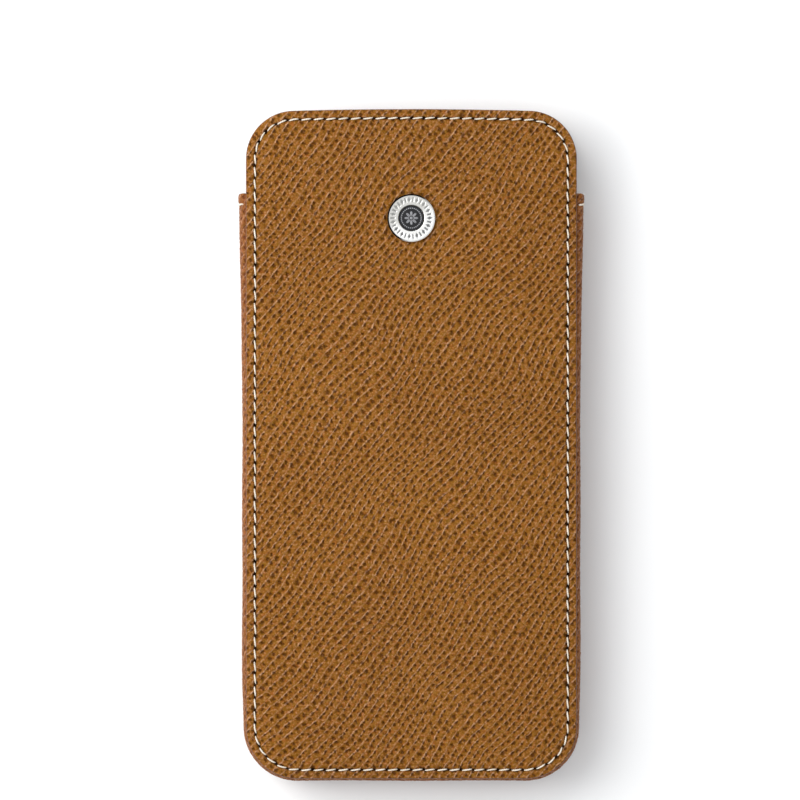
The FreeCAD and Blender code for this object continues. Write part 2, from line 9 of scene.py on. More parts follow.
import bpy
import numpy as np
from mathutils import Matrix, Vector


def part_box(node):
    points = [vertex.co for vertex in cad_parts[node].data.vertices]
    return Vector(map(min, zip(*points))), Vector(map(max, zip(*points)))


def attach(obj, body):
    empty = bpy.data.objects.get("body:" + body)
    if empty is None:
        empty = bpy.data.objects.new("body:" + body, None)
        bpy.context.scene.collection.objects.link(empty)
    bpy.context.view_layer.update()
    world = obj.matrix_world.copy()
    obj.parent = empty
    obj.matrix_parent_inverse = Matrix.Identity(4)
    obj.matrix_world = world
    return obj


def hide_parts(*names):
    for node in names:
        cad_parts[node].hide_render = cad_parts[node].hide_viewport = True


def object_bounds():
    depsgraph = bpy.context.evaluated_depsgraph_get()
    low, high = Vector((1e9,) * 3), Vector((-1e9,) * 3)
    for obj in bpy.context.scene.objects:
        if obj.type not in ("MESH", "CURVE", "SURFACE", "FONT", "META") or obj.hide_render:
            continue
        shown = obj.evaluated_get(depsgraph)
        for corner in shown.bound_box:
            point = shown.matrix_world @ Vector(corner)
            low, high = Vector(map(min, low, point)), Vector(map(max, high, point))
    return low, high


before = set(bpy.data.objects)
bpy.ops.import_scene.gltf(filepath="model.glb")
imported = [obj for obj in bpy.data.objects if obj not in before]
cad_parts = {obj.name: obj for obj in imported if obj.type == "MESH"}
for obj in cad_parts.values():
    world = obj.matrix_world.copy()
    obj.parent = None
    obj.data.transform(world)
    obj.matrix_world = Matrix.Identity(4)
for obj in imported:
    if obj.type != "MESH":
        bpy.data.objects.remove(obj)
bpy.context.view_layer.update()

MM = 0.001
RIGHT_ANGLE, FULL_TURN = math.pi / 2, 2 * math.pi
RNG = np.random.default_rng(7)


def box_mm(node):
    low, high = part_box(node)
    return np.array(low) / MM, np.array(high) / MM


def placed(name, data):
    made = bpy.data.objects.new(name, data)
    bpy.context.scene.collection.objects.link(made)
    return made


PANEL_LOW, PANEL_HIGH = box_mm("front_leather")
FACE_Z = PANEL_HIGH[2]
BACK_Z = box_mm("back_leather")[0][2]
MIDDLE_Z = (FACE_Z + BACK_Z) / 2


# ---- camera and light

LENS, SENSOR = 200.0, 36.0
VIEW_WIDTH = 171.04  # mm across the picture at the front panel's face
VIEW_CENTRE = (-2.43, 9.71)  # mm, the point under the camera
KEY_POWER, SIDE_POWER = 3.7, 0.28


def make_camera():
    camera = placed("camera", bpy.data.cameras.new("camera"))
    camera.data.lens = LENS
    camera.data.sensor_width = SENSOR
    height = FACE_Z + VIEW_WIDTH * LENS / SENSOR
    camera.location = Vector((*VIEW_CENTRE, height)) * MM
    bpy.context.scene.camera = camera


def area_light(name, azimuth, elevation, distance, size, power):
    """A square softbox that faces the case. Azimuth is anticlockwise from +X."""
    light = placed(name, bpy.data.lights.new(name, "AREA"))
    light.data.shape = "SQUARE"
    light.data.size = size
    light.data.energy = power
    turn, rise = math.radians(azimuth), math.radians(elevation)
    level = math.cos(rise)
    towards = Vector((math.cos(turn) * level, math.sin(turn) * level, math.sin(rise)))
    light.location = towards * distance
    light.rotation_euler = towards.to_track_quat("Z", "Y").to_euler()


# ---- node trees


def rgb(*values):
    """A colour given as 0 to 255 display values, as a shader's linear RGBA."""
    values = [value / 255 for value in values]
    return (*(v / 12.92 if v <= 0.04045 else ((v + 0.055) / 1.055) ** 2.4 for v in values), 1.0)


class Tree:
    """Short-hand for node trees. Any input may be a socket or a plain value."""

    def __init__(self, tree):
        self.tree = tree

    def node(self, kind, inputs=(), **settings):
        made = self.tree.nodes.new(kind)
        for name, value in settings.items():
            setattr(made, name, value)
        for key, value in dict(inputs).items():
            if isinstance(value, bpy.types.NodeSocket):
                self.tree.links.new(value, made.inputs[key])
            else:
                made.inputs[key].default_value = value
        return made

    def math(self, operation, *values):
        return self.node("ShaderNodeMath", enumerate(values), operation=operation).outputs[0]

    def times(self, first, second):
        return self.math("MULTIPLY", first, second)

    def less(self, first, second):
        return self.math("SUBTRACT", first, second)

    def total(self, *values):
        result = values[0]
        for value in values[1:]:
            result = self.math("ADD", result, value)
        return result

    def vector(self, operation, *values):
        made = self.node("ShaderNodeVectorMath", enumerate(values), operation=operation)
        return made.outputs["Value" if operation == "DOT_PRODUCT" else "Vector"]

    def scaled(self, vector, factor):
        inputs = {"Vector": vector, "Scale": factor}
        return self.node("ShaderNodeVectorMath", inputs, operation="SCALE").outputs[0]

    def stretched(self, place, *factors):
        return self.vector("MULTIPLY", place, factors)

    def attribute(self, name, vector=False):
        made = self.node("ShaderNodeAttribute", attribute_name=name)
        return made.outputs["Vector" if vector else "Fac"]

    def coordinates(self, kind):
        return self.node("ShaderNodeTexCoord").outputs[kind]

    def part(self, vector, index):
        return self.node("ShaderNodeSeparateXYZ", {0: vector}).outputs[index]

    def place_mm(self):
        return self.scaled(self.coordinates("Object"), 1 / MM)

    def noise(self, place, scale, detail=1.0, roughness=0.5, colour=False):
        inputs = {"Vector": place, "Scale": scale, "Detail": detail, "Roughness": roughness}
        return self.node("ShaderNodeTexNoise", inputs).outputs[1 if colour else 0]

    def step(self, value, low, high):
        """Rises smoothly from 0 at low to 1 at high, or falls where low is above high."""
        inputs = {"Value": value, "From Min": min(low, high), "From Max": max(low, high)}
        inputs["To Min"], inputs["To Max"] = (0.0, 1.0) if low < high else (1.0, 0.0)
        return self.node("ShaderNodeMapRange", inputs, interpolation_type="SMOOTHSTEP").outputs[0]

    def spread(self, value, low, high):
        """Takes 0 to 1 to low to high."""
        inputs = {"Value": value, "To Min": low, "To Max": high}
        return self.node("ShaderNodeMapRange", inputs).outputs[0]

    def mix(self, factor, first, second):
        inputs = {0: factor, 6: first, 7: second}
        return self.node("ShaderNodeMix", inputs, data_type="RGBA").outputs[2]

    def bump(self, height, strength, distance=MM):
        inputs = {"Height": height, "Strength": strength, "Distance": distance}
        return self.node("ShaderNodeBump", inputs).outputs[0]


LINKED = ("Base Color", "Roughness", "Normal", "Coat Weight", "Coat Normal")


def material(name, build, **fixed):
    """A Principled material. build(tree) returns sockets for the first few names in LINKED."""
    made = bpy.data.materials.new(name)
    made.use_nodes = True
    shader = made.node_tree.nodes["Principled BSDF"]
    for key, value in fixed.items():
        shader.inputs[key.replace("_", " ")].default_value = value
    for key, socket in zip(LINKED, build(Tree(made.node_tree))):
        made.node_tree.links.new(socket, shader.inputs[key])
    return made


# ---- leather grain

GRAIN_TURN = math.radians(51.5)  # direction that the ridges run in, from +X
ROW, PITCH = 1.56, 1.46  # mm from ridge to ridge, and from pit to pit between two ridges
SKEW = 0.18  # how far each row of pits is shifted against the one before it, in pitches
CREST = 0.6  # where the ridge lies in a row; its pits lie close under its lower right side

# noises that the rows wander by: (waves per mm, detail, reach in mm)
WANDER = ((0.035, 1.0, 7.5), (0.33, 1.0, 0.75), (1.6, 2.0, 0.42))
SCATTER = 0.54  # how far the pits stray, in pitches
PIT_SIZES = (0.76, 1.16)  # smallest and largest, against the usual one
PIT_RIM, PIT_FLOOR, PIT_RAGGED = 0.54, 0.14, 0.7  # mm, radii and how far the rim wavers
LOWER_SIDE, UPPER_SIDE = (-0.19, -0.03), (0.13, 0.0)  # of a ridge: rows from its crest
RIDGE_FAINT, RIDGE_ALONE = 0.45, 0.2  # strength of a ridge where it fades, and far from pits
PIT_FAR, PIT_NEAR, PIT_BESIDE = 0.62, 0.26, 0.36  # pitches from a pit's middle
WEB_HEIGHT = 0.5  # of the web between pits, against a ridge
RIDGE_RELIEF, PIT_RELIEF, PORE_RELIEF = 0.2, -0.2, 0.3  # mm


def grain(tree, place):
    """The grain at a place in the hide, in mm: (relief in mm, how much a pit, how much a ridge)."""
    middle = (0.5, 0.5, 0.5)
    broad, close, fine = (
        tree.scaled(tree.vector("SUBTRACT", tree.noise(place, *noise, colour=True), middle), reach)
        for *noise, reach in WANDER
    )
    warped = tree.vector("ADD", tree.vector("ADD", place, broad), tree.vector("ADD", close, fine))
    run = (math.cos(GRAIN_TURN), math.sin(GRAIN_TURN), 0)
    rows = tree.math("DIVIDE", tree.vector("DOT_PRODUCT", warped, (-run[1], run[0], 0)), ROW)
    along = tree.math("DIVIDE", tree.vector("DOT_PRODUCT", warped, run), PITCH)
    along = tree.math("MULTIPLY_ADD", rows, -SKEW, along)
    cells = {"Vector": tree.node("ShaderNodeCombineXYZ", {0: along, 1: rows}).outputs[0]}
    cells.update({"Scale": 1.0, "Randomness": SCATTER})
    pits = tree.node("ShaderNodeTexVoronoi", cells, voronoi_dimensions="2D").outputs
    away = pits["Distance"]

    waver = tree.less(tree.noise(place, 2.2, detail=3.0), 0.5)
    ragged = tree.math("MULTIPLY_ADD", waver, PIT_RAGGED, tree.times(away, (ROW + PITCH) / 2))
    ragged = tree.math("DIVIDE", ragged, tree.spread(tree.part(pits["Color"], 0), *PIT_SIZES))
    pit = tree.step(ragged, PIT_RIM, PIT_FLOOR)

    from_crest = tree.less(tree.math("FRACT", tree.math("ADD", rows, 0.5 - CREST)), 0.5)
    ridge = tree.times(tree.step(from_crest, *LOWER_SIDE), tree.step(from_crest, *UPPER_SIDE))
    strong = tree.step(tree.noise(place, 0.5, detail=2.0), 0.3, 0.62)
    near = tree.step(away, PIT_FAR, PIT_NEAR)
    strong, near = tree.spread(strong, RIDGE_FAINT, 1.0), tree.spread(near, RIDGE_ALONE, 1.0)
    ridge = tree.times(ridge, tree.times(strong, near))

    web = tree.times(tree.step(away, PIT_BESIDE, PIT_FAR), WEB_HEIGHT)
    pores = tree.less(tree.noise(place, 1.6, detail=5.0, roughness=0.7), 0.5)
    relief = tree.total(
        tree.times(tree.math("MAXIMUM", ridge, web), RIDGE_RELIEF),
        tree.times(pit, PIT_RELIEF),
        tree.times(pores, PORE_RELIEF),
    )
    return relief, pit, ridge


def press_grain(piece):
    """Presses the grain into a mesh, by its attributes hide (place, mm) and press (how deep)."""
    group = bpy.data.node_groups.new("grain_press", "GeometryNodeTree")
    for way in ("INPUT", "OUTPUT"):
        group.interface.new_socket("Geometry", in_out=way, socket_type="NodeSocketGeometry")
    tree = Tree(group)
    geometry = tree.node("NodeGroupInput").outputs[0]
    place, press = (
        tree.node("GeometryNodeInputNamedAttribute", {"Name": name}, data_type=kind).outputs[0]
        for name, kind in (("hide", "FLOAT_VECTOR"), ("press", "FLOAT"))
    )
    depth = tree.times(tree.times(grain(tree, place)[0], press), MM)
    shift = tree.scaled(tree.node("GeometryNodeInputNormal").outputs[0], depth)
    moved = tree.node("GeometryNodeSetPosition", {"Geometry": geometry, "Offset": shift})
    tree.node("NodeGroupOutput", {0: moved.outputs[0]})
    piece.modifiers.new("grain", "NODES").node_group = group
    pressed = piece.evaluated_get(bpy.context.evaluated_depsgraph_get())
    piece.data = bpy.data.meshes.new_from_object(pressed)
    piece.modifiers.clear()


# ---- materials

TAN, TAN_DEEP = rgb(131, 82, 7), rgb(123, 75, 2)
TAN_WARM, TAN_OLIVE = rgb(146, 76, 22), rgb(122, 86, 0)
# the paler tan is a painted highlight on the ridges, the darkest tan is painted shade in the pits,
# and both also colour random specks; the near black is painted shade in the stitch holes and along
# the seam
TAN_HIGHLIGHT_AND_SPECK, TAN_PIT_SHADE_AND_SPECK, STITCH_SHADE = rgb(198, 148, 109), rgb(56, 22, 0), rgb(28, 15, 8)
# painted shade of the case's sides, darker and redder than the tan
SIDE_SHADE = rgb(134, 74, 56)
EDGE, EDGE_DARK = rgb(112, 66, 44), rgb(78, 46, 40)
SUEDE, SUEDE_DARK = rgb(150, 106, 64), rgb(124, 84, 48)
SUEDE_LIGHT = rgb(182, 138, 94)
BOARD, BOARD_DARK = rgb(140, 118, 92), rgb(104, 84, 62)
THREAD, THREAD_SOILED = rgb(230, 221, 207), rgb(214, 203, 186)
THREAD_SHADE = rgb(190, 176, 156)
SILVER, SILVER_WARM = rgb(242, 242, 239), rgb(238, 237, 232)
SILVER_DULL, PATINA = rgb(208, 207, 201), rgb(66, 66, 66)
DARK, DARK_WORN, RAISED = rgb(16, 16, 18), rgb(46, 46, 48), rgb(164, 164, 167)
BRASS, BRASS_DULL = rgb(190, 160, 92), rgb(120, 96, 54)
FLOOR, FLOOR_SHADE = rgb(244, 244, 244), rgb(240, 240, 240)

# how much each mark on the leather shows; the pits' mark is painted shade
PATCH_TINT, LIGHT_SPECK, DARK_SPECK, PIT_SHADE = 0.6, 0.5, 0.65, 0.72
# the gusset's tint is painted shade on the case's sides
SIDE_SHADE_SHARE = 0.3  # how much redder the gusset is
POLISH, POLISH_ON_RIDGE, POLISH_IN_PIT = 0.15, 0.85, 0.35  # weight of the satin coat
SATIN = {"Specular_IOR_Level": 0.06, "Coat_Roughness": 0.32}


def leather_nodes(tree, side_shade=0.0):
    place = tree.attribute("hide", vector=True)
    relief, pit, ridge = grain(tree, place)
    cloud = tree.noise(place, 0.035, detail=3.0)
    patch = tree.noise(place, 1.2, detail=4.0, roughness=0.65)
    speck = tree.noise(place, 1.9, detail=4.0, roughness=0.65)
    hole = tree.attribute("hole")
    tan = tree.mix(tree.step(cloud, 0.3, 0.7), TAN_DEEP, TAN)
    for share, colour in (
        (tree.times(tree.step(patch, 0.48, 0.7), PATCH_TINT), TAN_WARM),
        (tree.times(tree.step(patch, 0.48, 0.3), PATCH_TINT), TAN_OLIVE),
        # painted highlight: the ridges are coloured paler, as where the light catches them
        (ridge, TAN_HIGHLIGHT_AND_SPECK),
        (tree.times(tree.step(speck, 0.5, 0.3), LIGHT_SPECK), TAN_HIGHLIGHT_AND_SPECK),
        (tree.times(tree.step(speck, 0.5, 0.7), DARK_SPECK), TAN_PIT_SHADE_AND_SPECK),
        # painted shade: the pits are coloured dark, for the shade that falls in them
        (tree.times(pit, PIT_SHADE), TAN_PIT_SHADE_AND_SPECK),
        # painted shade: the gusset's copy of the leather is tinted darker and redder
        (side_shade, SIDE_SHADE),
        # painted shade: near black in the stitch holes and along the seam
        (hole, STITCH_SHADE),
    ):
        tan = tree.mix(share, tan, colour)
    fine = tree.times(tree.less(tree.noise(place, 7.0, detail=3.0), 0.5), 0.04)
    rough = tree.math("MULTIPLY_ADD", ridge, -0.12, tree.spread(patch, 0.46, 0.6))
    polish = tree.times(tree.spread(pit, 1.0, POLISH_IN_PIT), tree.less(1.0, hole))
    polish = tree.times(polish, tree.spread(ridge, POLISH, POLISH_ON_RIDGE))
    normal = tree.bump(tree.total(relief, fine), 1.0)
    return tan, rough, normal, polish, normal


def edge_nodes(tree):
    """Edge paint: several burnished coats over the cut fibres."""
    place = tree.place_mm()
    coat = tree.noise(place, 0.9, detail=3.0)
    fibres = tree.noise(tree.stretched(place, 1.5, 1.5, 9.0), 1.2, detail=4.0)
    colour = tree.mix(tree.step(coat, 0.35, 0.7), EDGE_DARK, EDGE)
    normal = tree.bump(tree.times(fibres, 0.05), 0.8)
    return colour, tree.spread(coat, 0.32, 0.55), normal


def suede_nodes(tree):
    """Brushed suede: a short nap, with broader strokes where it lies another way."""
    place = tree.place_mm()
    nap = tree.noise(tree.stretched(place, 1.6, 0.8, 0.8), 1.6, detail=5.0, roughness=0.75)
    strokes = tree.noise(tree.stretched(place, 1.0, 0.4, 1.0), 0.25, detail=4.0, roughness=0.6)
    fibre = tree.noise(place, 7.0, detail=2.0)
    colour = tree.mix(tree.step(strokes, 0.35, 0.65), SUEDE_DARK, SUEDE)
    colour = tree.mix(tree.times(tree.step(nap, 0.35, 0.7), 0.55), colour, SUEDE_LIGHT)
    normal = tree.bump(tree.total(tree.times(nap, 0.25), tree.times(fibre, 0.05)), 0.9)
    return colour, tree.spread(nap, 0.85, 0.98), normal


def board_nodes(tree):
    """Bonded leather-fibre board, with the edge paint that runs over its edge."""
    place = tree.place_mm()
    fibres = tree.noise(tree.stretched(place, 1.0, 1.0, 4.0), 2.2, detail=5.0, roughness=0.7)
    clumps = tree.noise(place, 0.5, detail=2.0)
    upright = tree.math("ABSOLUTE", tree.part(tree.coordinates("Normal"), 2))
    flat = tree.step(upright, 0.3, 0.7)
    colour = tree.mix(tree.step(fibres, 0.35, 0.7), BOARD_DARK, BOARD)
    colour = tree.mix(flat, EDGE_DARK, colour)
    normal = tree.bump(fibres, 0.06)
    return colour, tree.spread(clumps, 0.7, 0.9), normal


def thread_nodes(tree):
    """Waxed linen: fuzzy fibres, a little soiled in places."""
    place = tree.place_mm()
    fuzz = tree.noise(place, 9.0, detail=4.0, roughness=0.7)
    soil = tree.noise(place, 0.35, detail=3.0)
    colour = tree.mix(tree.step(soil, 0.3, 0.75), THREAD_SOILED, THREAD)
    colour = tree.mix(tree.times(tree.step(fuzz, 0.5, 0.8), 0.35), colour, THREAD_SHADE)
    normal = tree.bump(fuzz, 0.5, 0.05 * MM)
    return colour, tree.spread(fuzz, 0.5, 0.75), normal


def silver_nodes(tree):
    """Polished plate with tarnish, patina in the engraving, and painted shade where engraved is
    over 1.
    """
    place = tree.place_mm()
    haze = tree.noise(place, 0.8, detail=3.0)
    hairlines = tree.noise(tree.stretched(place, 4.0, 0.5, 0.5), 1.2, detail=2.0)
    cut = tree.attribute("engraved")
    colour = tree.mix(tree.step(haze, 0.4, 0.8), SILVER, SILVER_WARM)
    colour = tree.mix(tree.attribute("tarnish"), colour, SILVER_DULL)
    colour = tree.mix(cut, colour, PATINA)
    # painted shade: the rim's dark crescent, where engraved is over 1
    colour = tree.mix(tree.step(cut, 1.0, 1.3), colour, DARK)
    rough = tree.total(tree.spread(haze, 0.13, 0.22), tree.times(cut, 0.35))
    return colour, rough, tree.bump(hairlines, 0.1, 0.01 * MM)


def enamel_nodes(tree):
    """Dark finish of the disc, worn bright on what stands proud."""
    grit = tree.noise(tree.place_mm(), 7.0, detail=4.0, roughness=0.7)
    raised = tree.attribute("raised")
    colour = tree.mix(tree.step(grit, 0.3, 0.7), DARK, DARK_WORN)
    colour = tree.mix(tree.times(raised, 0.85), colour, RAISED)
    rough = tree.total(tree.spread(grit, 0.4, 0.6), tree.times(raised, -0.16))
    return colour, rough, tree.bump(grit, 0.4, 0.02 * MM)


def brass_nodes(tree):
    tarnish = tree.noise(tree.place_mm(), 1.2, detail=4.0)
    colour = tree.mix(tree.step(tarnish, 0.4, 0.75), BRASS, BRASS_DULL)
    return colour, tree.spread(tarnish, 0.25, 0.5), tree.bump(tarnish, 0.2)


def floor_nodes(tree):
    paper = tree.noise(tree.coordinates("Object"), 30.0, detail=3.0)
    colour = tree.mix(paper, FLOOR, FLOOR_SHADE)
    return colour, tree.spread(paper, 0.85, 0.95)


LEATHER = material("leather", leather_nodes, **SATIN)
# the gusset's copy of the leather, tinted with painted shade for the case's sides
SHADED_SIDE_LEATHER = material("side_leather_painted_shade", lambda tree: leather_nodes(tree, SIDE_SHADE_SHARE), **SATIN)
EDGE_PAINT = material("edge_paint", edge_nodes, Specular_IOR_Level=0.45)
SUEDE_LINING = material(
    "suede", suede_nodes, Sheen_Weight=0.25, Sheen_Roughness=0.5, Specular_IOR_Level=0.1
)
FIBRE_BOARD = material("fibre_board", board_nodes, Specular_IOR_Level=0.25)
WAXED_THREAD = material("waxed_thread", thread_nodes, Sheen_Weight=0.15, Specular_IOR_Level=0.35)
SILVER_PLATE = material("silver_plate", silver_nodes, Metallic=1.0)
DARK_ENAMEL = material("dark_enamel", enamel_nodes, Metallic=0.6)
RIVET_BRASS = material("rivet_brass", brass_nodes, Metallic=1.0)
FLOOR_PAPER = material("floor_paper", floor_nodes)


# ---- mesh helpers


def new_piece(name, node, points, faces, materials, attributes=None, material_of=None):
    """A mesh from points in mm, which rides on the one body and replaces a node."""
    mesh = bpy.data.meshes.new(name)
    mesh.from_pydata((np.asarray(points, float) * MM).tolist(), [], faces)
    for one in materials:
        mesh.materials.append(one)
    if material_of is not None:
        mesh.polygons.foreach_set("material_index", np.asarray(material_of, np.int32))
    for key, values in (attributes or {}).items():
        values = np.asarray(values, np.float32)
        kind, field = ("FLOAT_VECTOR", "vector") if values.ndim == 2 else ("FLOAT", "value")
        mesh.attributes.new(key, kind, "POINT").data.foreach_set(field, values.ravel())
    mesh.shade_smooth()
    piece = placed(name, mesh)
    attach(piece, "root")
    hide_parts(node)
    return piece


def ease(value, low, high):
    """Smooth step from 0 at low to 1 at high."""
    t = np.clip((value - low) / (high - low), 0, 1)
    return t * t * (3 - 2 * t)


def bell(value, width):
    return np.exp(-((value / width) ** 2))


def unit(vectors):
    return vectors / np.linalg.norm(vectors, axis=-1, keepdims=True)


def lattice(rows, columns, closed=False):
    """Quads over rings of points, numbered ring by ring. closed joins the last to the first."""
    j, i = np.meshgrid(np.arange(rows if closed else rows - 1), np.arange(columns), indexing="ij")
    j_next, i_next = (j + 1) % rows, (i + 1) % columns
    corners = ((j, i), (j_next, i), (j_next, i_next), (j, i_next))
    return np.stack([a * columns + b for a, b in corners], -1).reshape(-1, 4).tolist()


def capped(rows, columns):
    """A lattice with a flat face over its first ring and its last."""
    last = np.arange(rows * columns - columns, rows * columns)
    return lattice(rows, columns) + [list(range(columns)), last[::-1].tolist()]


def flipped(faces):
    return [face[::-1] for face in faces]


# ---- outline and seam

RADIUS_MOUTH, RADIUS_LOW, CROWN_RADIUS = 10.3, 11.0, 900.0
SEAM_INSET, STITCH_PITCH = 1.95, 2.65
SKIVE_WIDTH, SKIVE_DEPTH = 4.0, 0.45
LEATHER_THICK, LINING_THICK = 1.2, 0.4
GUSSET_TOP = box_mm("gusset_leather")[1][1]


def straight(start, end):
    """A straight stretch: (length, what gives points and outward directions)."""
    start, end = np.array(start), np.array(end)
    length = np.linalg.norm(end - start)
    along = (end - start) / length
    outward = np.array([along[1], -along[0]])
    return length, lambda t: (start + t[:, None] * (end - start), np.tile(outward, (len(t), 1)))


def bend(centre, radius, first, last):
    """A stretch round a centre, anticlockwise from one angle to another."""

    def at(t):
        angle = first + t * (last - first)
        outward = np.stack([np.cos(angle), np.sin(angle)], 1)
        return np.array(centre) + radius * outward, outward

    return radius * (last - first), at


def follow(stretches, distances):
    """Points and outward directions at distances along a chain of stretches."""
    points, outward = np.zeros((len(distances), 2)), np.zeros((len(distances), 2))
    start, slack = 0.0, 1e-9
    for length, at in stretches:
        here = (distances >= start - slack) & (distances <= start + length + slack)
        points[here], outward[here] = at(np.clip((distances[here] - start) / length, 0, 1))
        start += length
    return points, outward


def seam_line(per_stitch):
    """The seam, anticlockwise from the middle of the closed end, with per_stitch points to each
    stitch: (points, outward directions, length of a stitch)."""
    half = PANEL_HIGH[0] - SEAM_INSET
    base, top = PANEL_LOW[1] + SEAM_INSET, PANEL_HIGH[1] - SEAM_INSET
    low, mouth, bow = (r - SEAM_INSET for r in (RADIUS_LOW, RADIUS_MOUTH, CROWN_RADIUS))
    lean = math.asin((half - mouth) / (bow - mouth))
    mouth_y = top - bow + math.sqrt((bow - mouth) ** 2 - (half - mouth) ** 2)
    stretches = [
        straight((0, base), (half - low, base)),
        bend((half - low, base + low), low, -RIGHT_ANGLE, 0),
        straight((half, base + low), (half, mouth_y)),
        bend((half - mouth, mouth_y), mouth, 0, RIGHT_ANGLE - lean),
        bend((0, top - bow), bow, RIGHT_ANGLE - lean, RIGHT_ANGLE + lean),
        bend((mouth - half, mouth_y), mouth, RIGHT_ANGLE + lean, 2 * RIGHT_ANGLE),
        straight((-half, mouth_y), (-half, base + low)),
        bend((low - half, base + low), low, 2 * RIGHT_ANGLE, 3 * RIGHT_ANGLE),
        straight((low - half, base), (0, base)),
    ]
    total = sum(length for length, _ in stretches)
    stitches = round(total / STITCH_PITCH)
    count = stitches * per_stitch
    points, outward = follow(stretches, np.arange(count) * total / count)
    return points, outward, total / stitches


# ---- panels and linings

SHORT_SIDE = 0.08  # half of a grid's short side, as a share of its rim
SMOOTHINGS = 250

ROUNDED = 0.32  # mm, radius of the panel's worn top edge
PAINT_LAP = 0.13  # mm that the edge paint laps over the edge

# rings of a sheet, in mm in from its edge: over its face, then down the edge and under
PANEL_FACE = [4.5, 4.1, 3.7, 3.3, 2.95, 2.62, 2.35, 2.12, 1.95, 1.78, 1.55, 1.25, 0.95, 0.62]
PANEL_FACE += [0.32, 0.22, 0.13, 0.05]
LINING_FACE = [4.5, 3.9, 3.3, 2.75, 2.35, 2.1, 1.95, 1.8, 1.5, 1.1, 0.7, 0.35, 0.12, 0.0]
LINING_FACE_DEPTHS = [0.0] * 11 + [0.01, 0.05, 0.12]
UNDERSIDE = [0.0, 0.1, 0.6]

BACK_HIDE = (210.0, 35.0, 0.0)  # mm, from the front's place in the hide
LINING_DRAWN = 1.3  # mm that the gusset draws the lining in

HOLE_ALONG, HOLE_ACROSS = 0.48, 0.36  # mm, half of a stitch hole
# painted shade: the leather along the seam is coloured dark under the thread
SEAM_SHADE = 0.45  # dark under the thread, against a hole

BADGE_LOW, BADGE_HIGH = box_mm("medallion_ring")
BADGE_CENTRE = (BADGE_LOW[:2] + BADGE_HIGH[:2]) / 2
BADGE_RADIUS = (BADGE_HIGH[0] - BADGE_LOW[0]) / 2
BADGE_SINK, BADGE_SWELL = 0.16, 0.05  # mm, hollow under the medallion and swell round it


def fill_grid(rim):
    """Fills the closed line rim with an even grid: (numbers of its points, new points inside)."""
    count = len(rim)
    first = round(SHORT_SIDE * count)
    across, along = 2 * first, count // 2 - 2 * first
    numbers = np.zeros((across + 1, along + 1), int)
    added = np.arange((across - 1) * (along - 1)).reshape(across - 1, along - 1)
    numbers[1:-1, 1:-1] = count + added
    numbers[:, 0] = np.arange(-first, first + 1) % count
    numbers[-1, :] = first + np.arange(along + 1)
    numbers[:, -1] = first + along + across - np.arange(across + 1)
    numbers[0, :] = (-first - np.arange(along + 1)) % count
    grid = np.zeros((across + 1, along + 1, 2))
    for edge in (np.s_[:, 0], np.s_[-1, :], np.s_[:, -1], np.s_[0, :]):
        grid[edge] = rim[numbers[edge]]
    s = np.linspace(0, 1, across + 1)[:, None, None]
    t = np.linspace(0, 1, along + 1)[None, :, None]
    corners = (1 - s) * (1 - t) * grid[0, 0] + s * (1 - t) * grid[-1, 0]
    corners = corners + (1 - s) * t * grid[0, -1] + s * t * grid[-1, -1]
    blend = (1 - t) * grid[:, :1] + t * grid[:, -1:] + (1 - s) * grid[:1] + s * grid[-1:] - corners
    inside = np.s_[1:-1, 1:-1]
    grid[inside] = blend[inside]
    for _ in range(SMOOTHINGS):
        grid[inside] = (grid[2:, 1:-1] + grid[:-2, 1:-1] + grid[1:-1, 2:] + grid[1:-1, :-2]) / 4
    return numbers, grid[inside].reshape(-1, 2)


def slab(per_stitch, insets, depths, outer_z, up, relief, narrow=None):
    """A sheet over the panel's outline: (points, faces, attributes, material numbers, insets).

    insets and depths (mm) go from the rim of its middle out over the edge and under. relief says
    how far each point of the outer face is sunk, and its painted shade. narrow draws the edge
    further in.
    """
    seam, outward, pitch = seam_line(per_stitch)
    columns, ring_count = len(seam), len(insets)
    insets, depths = np.array(insets, float), np.array(depths, float)
    drawn = np.tile(insets[:, None], (1, columns))
    if narrow is not None:
        drawn += narrow(seam) * (1 - insets[:, None] / insets[0])
    rings = seam[None] + outward[None] * (SEAM_INSET - drawn)[..., None]
    numbers, inner = fill_grid(rings[0])
    numbers = np.where(numbers >= columns, numbers + (ring_count - 1) * columns, numbers)
    flat = np.concatenate([rings.reshape(-1, 2), inner])
    inset = np.r_[np.repeat(insets, columns), np.full(len(inner), insets[0])]
    depth = np.r_[np.repeat(depths, columns), np.full(len(inner), depths[0])]
    on_rings = np.arange(len(flat)) < ring_count * columns
    facing = np.ones(len(flat), bool)
    facing[on_rings] = np.repeat(np.arange(ring_count) <= insets.argmin(), columns)
    phase = (np.arange(len(flat)) % columns % per_stitch) / per_stitch
    to_hole = np.minimum(phase, 1 - phase) * pitch
    sunk, hole = relief(flat, inset, to_hole, on_rings)
    depth = depth + np.where(facing, sunk, 0)
    points = np.column_stack([flat, outer_z - up * depth])
    around = (numbers[:-1, :-1], numbers[1:, :-1], numbers[1:, 1:], numbers[:-1, 1:])
    quads = np.stack(around, -1).reshape(-1, 4).tolist()
    faces = quads + lattice(ring_count, columns)
    faces.append((np.arange(columns)[::-1] + (ring_count - 1) * columns).tolist())
    if up < 0:
        faces = flipped(faces)
    # the hole mark is painted shade, in the stitch holes and along the seam
    attributes = {"hole": np.where(facing, hole, 0), "facing": facing.astype(float)}
    painted = np.repeat(np.arange(ring_count - 1) >= np.argmax(insets <= PAINT_LAP), columns)
    kinds = [0] * len(quads) + painted.astype(int).tolist() + [0]
    return points, faces, attributes, kinds, inset


